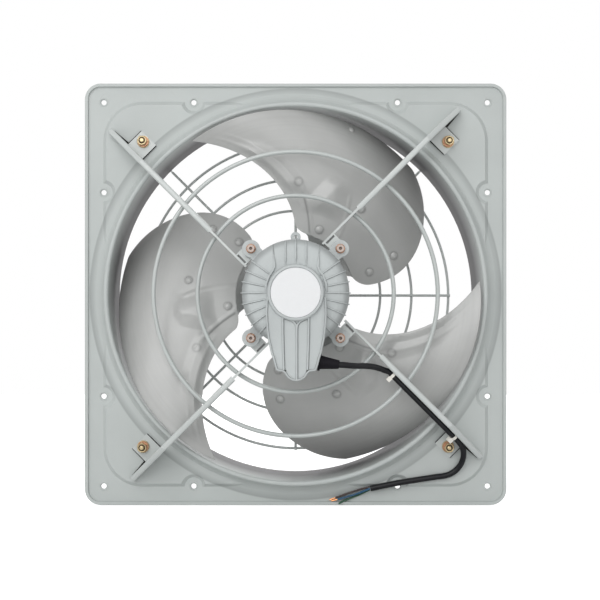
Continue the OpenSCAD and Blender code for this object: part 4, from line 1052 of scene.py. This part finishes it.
# %% [markdown]
# At the motor the fold leaves a slot beside each arm. A thin sheet closes it from behind, and full
# painted shade on it paints the slot's inside dark.
# The guard's wires are welded where they cross and the front rings where they pass the arms, and each
# weld stands proud as a small lumpy bead. A squashed ball is enough for one, with a ripple of sines so
# that none is perfectly round.

# %% The sheet behind each slot, in painted shade
fold = strip("slot_shade_sheet", [(61.5, 11.5), (75.3, 11.5), (75.3, 16.3), (61.5, 16.3)], 45.8, 46.6)
fold = four_round(fold, "slot_shade_sheet")
finish_piece(fold, "frame", "arm")
print(fold.name, len(fold.data.polygons), "faces")

# %% The welds
FRONT_RINGS, GUARD_RINGS = (108.4, 157), (46, 103.4, 141.6, 186.6)
GUARD_Z, RING_Z = -85.3, 38.6
BESIDE = 2.3


def bead(name, spot, size):
    # A weld bead: a squashed ball with a slightly lumpy skin
    deselect()
    bpy.ops.mesh.primitive_ico_sphere_add(subdivisions=2, radius=1)
    piece = bpy.context.object
    piece.name = name
    middle = on_bench(*spot)
    for vertex in piece.data.vertices:
        x, y, z = vertex.co
        lump = 1 + 0.12 * math.sin(7 * x + 3 * z) * math.cos(5 * y + spot[0])
        vertex.co = middle + Vector((x * size[0], -z * size[2], y * size[1])) * (lump * MM)
    return piece


beads = []
for r in FRONT_RINGS:
    along = math.sqrt(r * r - ARM_SIDE ** 2)
    for k in range(4):
        turn = math.radians(45 + 90 * k)
        for side in (ARM_SIDE - BESIDE, ARM_SIDE + BESIDE):
            x = along * math.cos(turn) - side * math.sin(turn)
            y = along * math.sin(turn) + side * math.cos(turn)
            beads.append(bead("arm_weld", (x, y, RING_Z), (2.1, 2.1, 1.7)))
for r in GUARD_RINGS:
    for k in range(8):
        turn = math.radians(45 * k)
        spot = (r * math.cos(turn), r * math.sin(turn), GUARD_Z)
        beads.append(bead("guard_weld", spot, (2.2, 2.2, 1.8)))
finish_piece(join(beads), "frame", "wire", angle=60)
print(len(beads), "weld beads")

# %% [markdown]
# ## The studio
# A pale floor under the fan, a white backdrop that only the camera and the shiny surfaces see, a soft
# lamp high on the left as in the photograph, a weaker one in front and one behind, so that no side stays
# dark.

# %% The floor
WHITE, FLOOR_LIFT, AIR = (1, 1, 1, 1), 0.64, 0.55
floor_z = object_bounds()[0][2] - 0.0004
bpy.ops.mesh.primitive_plane_add(size=3.0, location=(0, 0.1, floor_z))
floor = bpy.context.object
floor.name = "studio_floor"
pale = bpy.data.materials.new("pale_floor")
pale.use_nodes = True
tree = pale.node_tree
surface = tree.nodes["Principled BSDF"]
surface.inputs["Base Color"].default_value = (0.88, 0.88, 0.88, 1)
surface.inputs["Roughness"].default_value = 0.9
path = tree.nodes.new("ShaderNodeLightPath")
glow = tree.nodes.new("ShaderNodeEmission")
glow.inputs["Color"].default_value = WHITE
lift = math_node(tree, "MULTIPLY", path.outputs["Is Camera Ray"], FLOOR_LIFT)
tree.links.new(lift, glow.inputs["Strength"])
both = tree.nodes.new("ShaderNodeAddShader")
tree.links.new(surface.outputs["BSDF"], both.inputs[0])
tree.links.new(glow.outputs["Emission"], both.inputs[1])
tree.links.new(both.outputs["Shader"], tree.nodes["Material Output"].inputs["Surface"])
floor.data.materials.append(pale)
print("floor at", round(floor_z, 4), "m")

# %% The backdrop
world = bpy.data.worlds.new("studio_air")
bpy.context.scene.world = world
world.use_nodes = True
tree = world.node_tree
air = tree.nodes["Background"]
air.inputs["Color"].default_value = WHITE
air.inputs["Strength"].default_value = AIR
white = tree.nodes.new("ShaderNodeBackground")
white.inputs["Color"].default_value = WHITE
white.inputs["Strength"].default_value = 1.0
path = tree.nodes.new("ShaderNodeLightPath")
seen = math_node(tree, "MAXIMUM", path.outputs["Is Camera Ray"], path.outputs["Is Transmission Ray"])
seen = math_node(tree, "MAXIMUM", seen, path.outputs["Is Glossy Ray"])
backdrop = tree.nodes.new("ShaderNodeMixShader")
tree.links.new(seen, backdrop.inputs[0])
tree.links.new(air.outputs["Background"], backdrop.inputs[1])
tree.links.new(white.outputs["Background"], backdrop.inputs[2])
tree.links.new(backdrop.outputs["Shader"], tree.nodes["World Output"].inputs["Surface"])
print("white backdrop, light of the air", AIR)

# %% [markdown]
# Square lamps, three to four times as wide as the fan and 2.6 to 2.8 metres off, keep the shadows soft.
# Each is aimed at the fan's middle.

# %% Lamps


def softbox(name, place, size, power):
    lamp_data = bpy.data.lights.new(name, "AREA")
    lamp_data.shape = "RECTANGLE"
    lamp_data.size = lamp_data.size_y = size
    lamp_data.energy = power
    lamp = bpy.data.objects.new(name, lamp_data)
    lamp.location = place
    lamp.rotation_euler = (-Vector(place)).to_track_quat("-Z", "Y").to_euler()
    bpy.context.scene.collection.objects.link(lamp)
    print(name, power, "W")


softbox("key_softbox", (-0.9, -2.1, 1.2), 2.0, 30)
softbox("front_softbox", (0.3, -2.6, 0.4), 1.6, 8)
softbox("back_softbox", (0.7, 2.4, 1.3), 1.6, 18)
bpy.context.scene.view_settings.view_transform = "Standard"
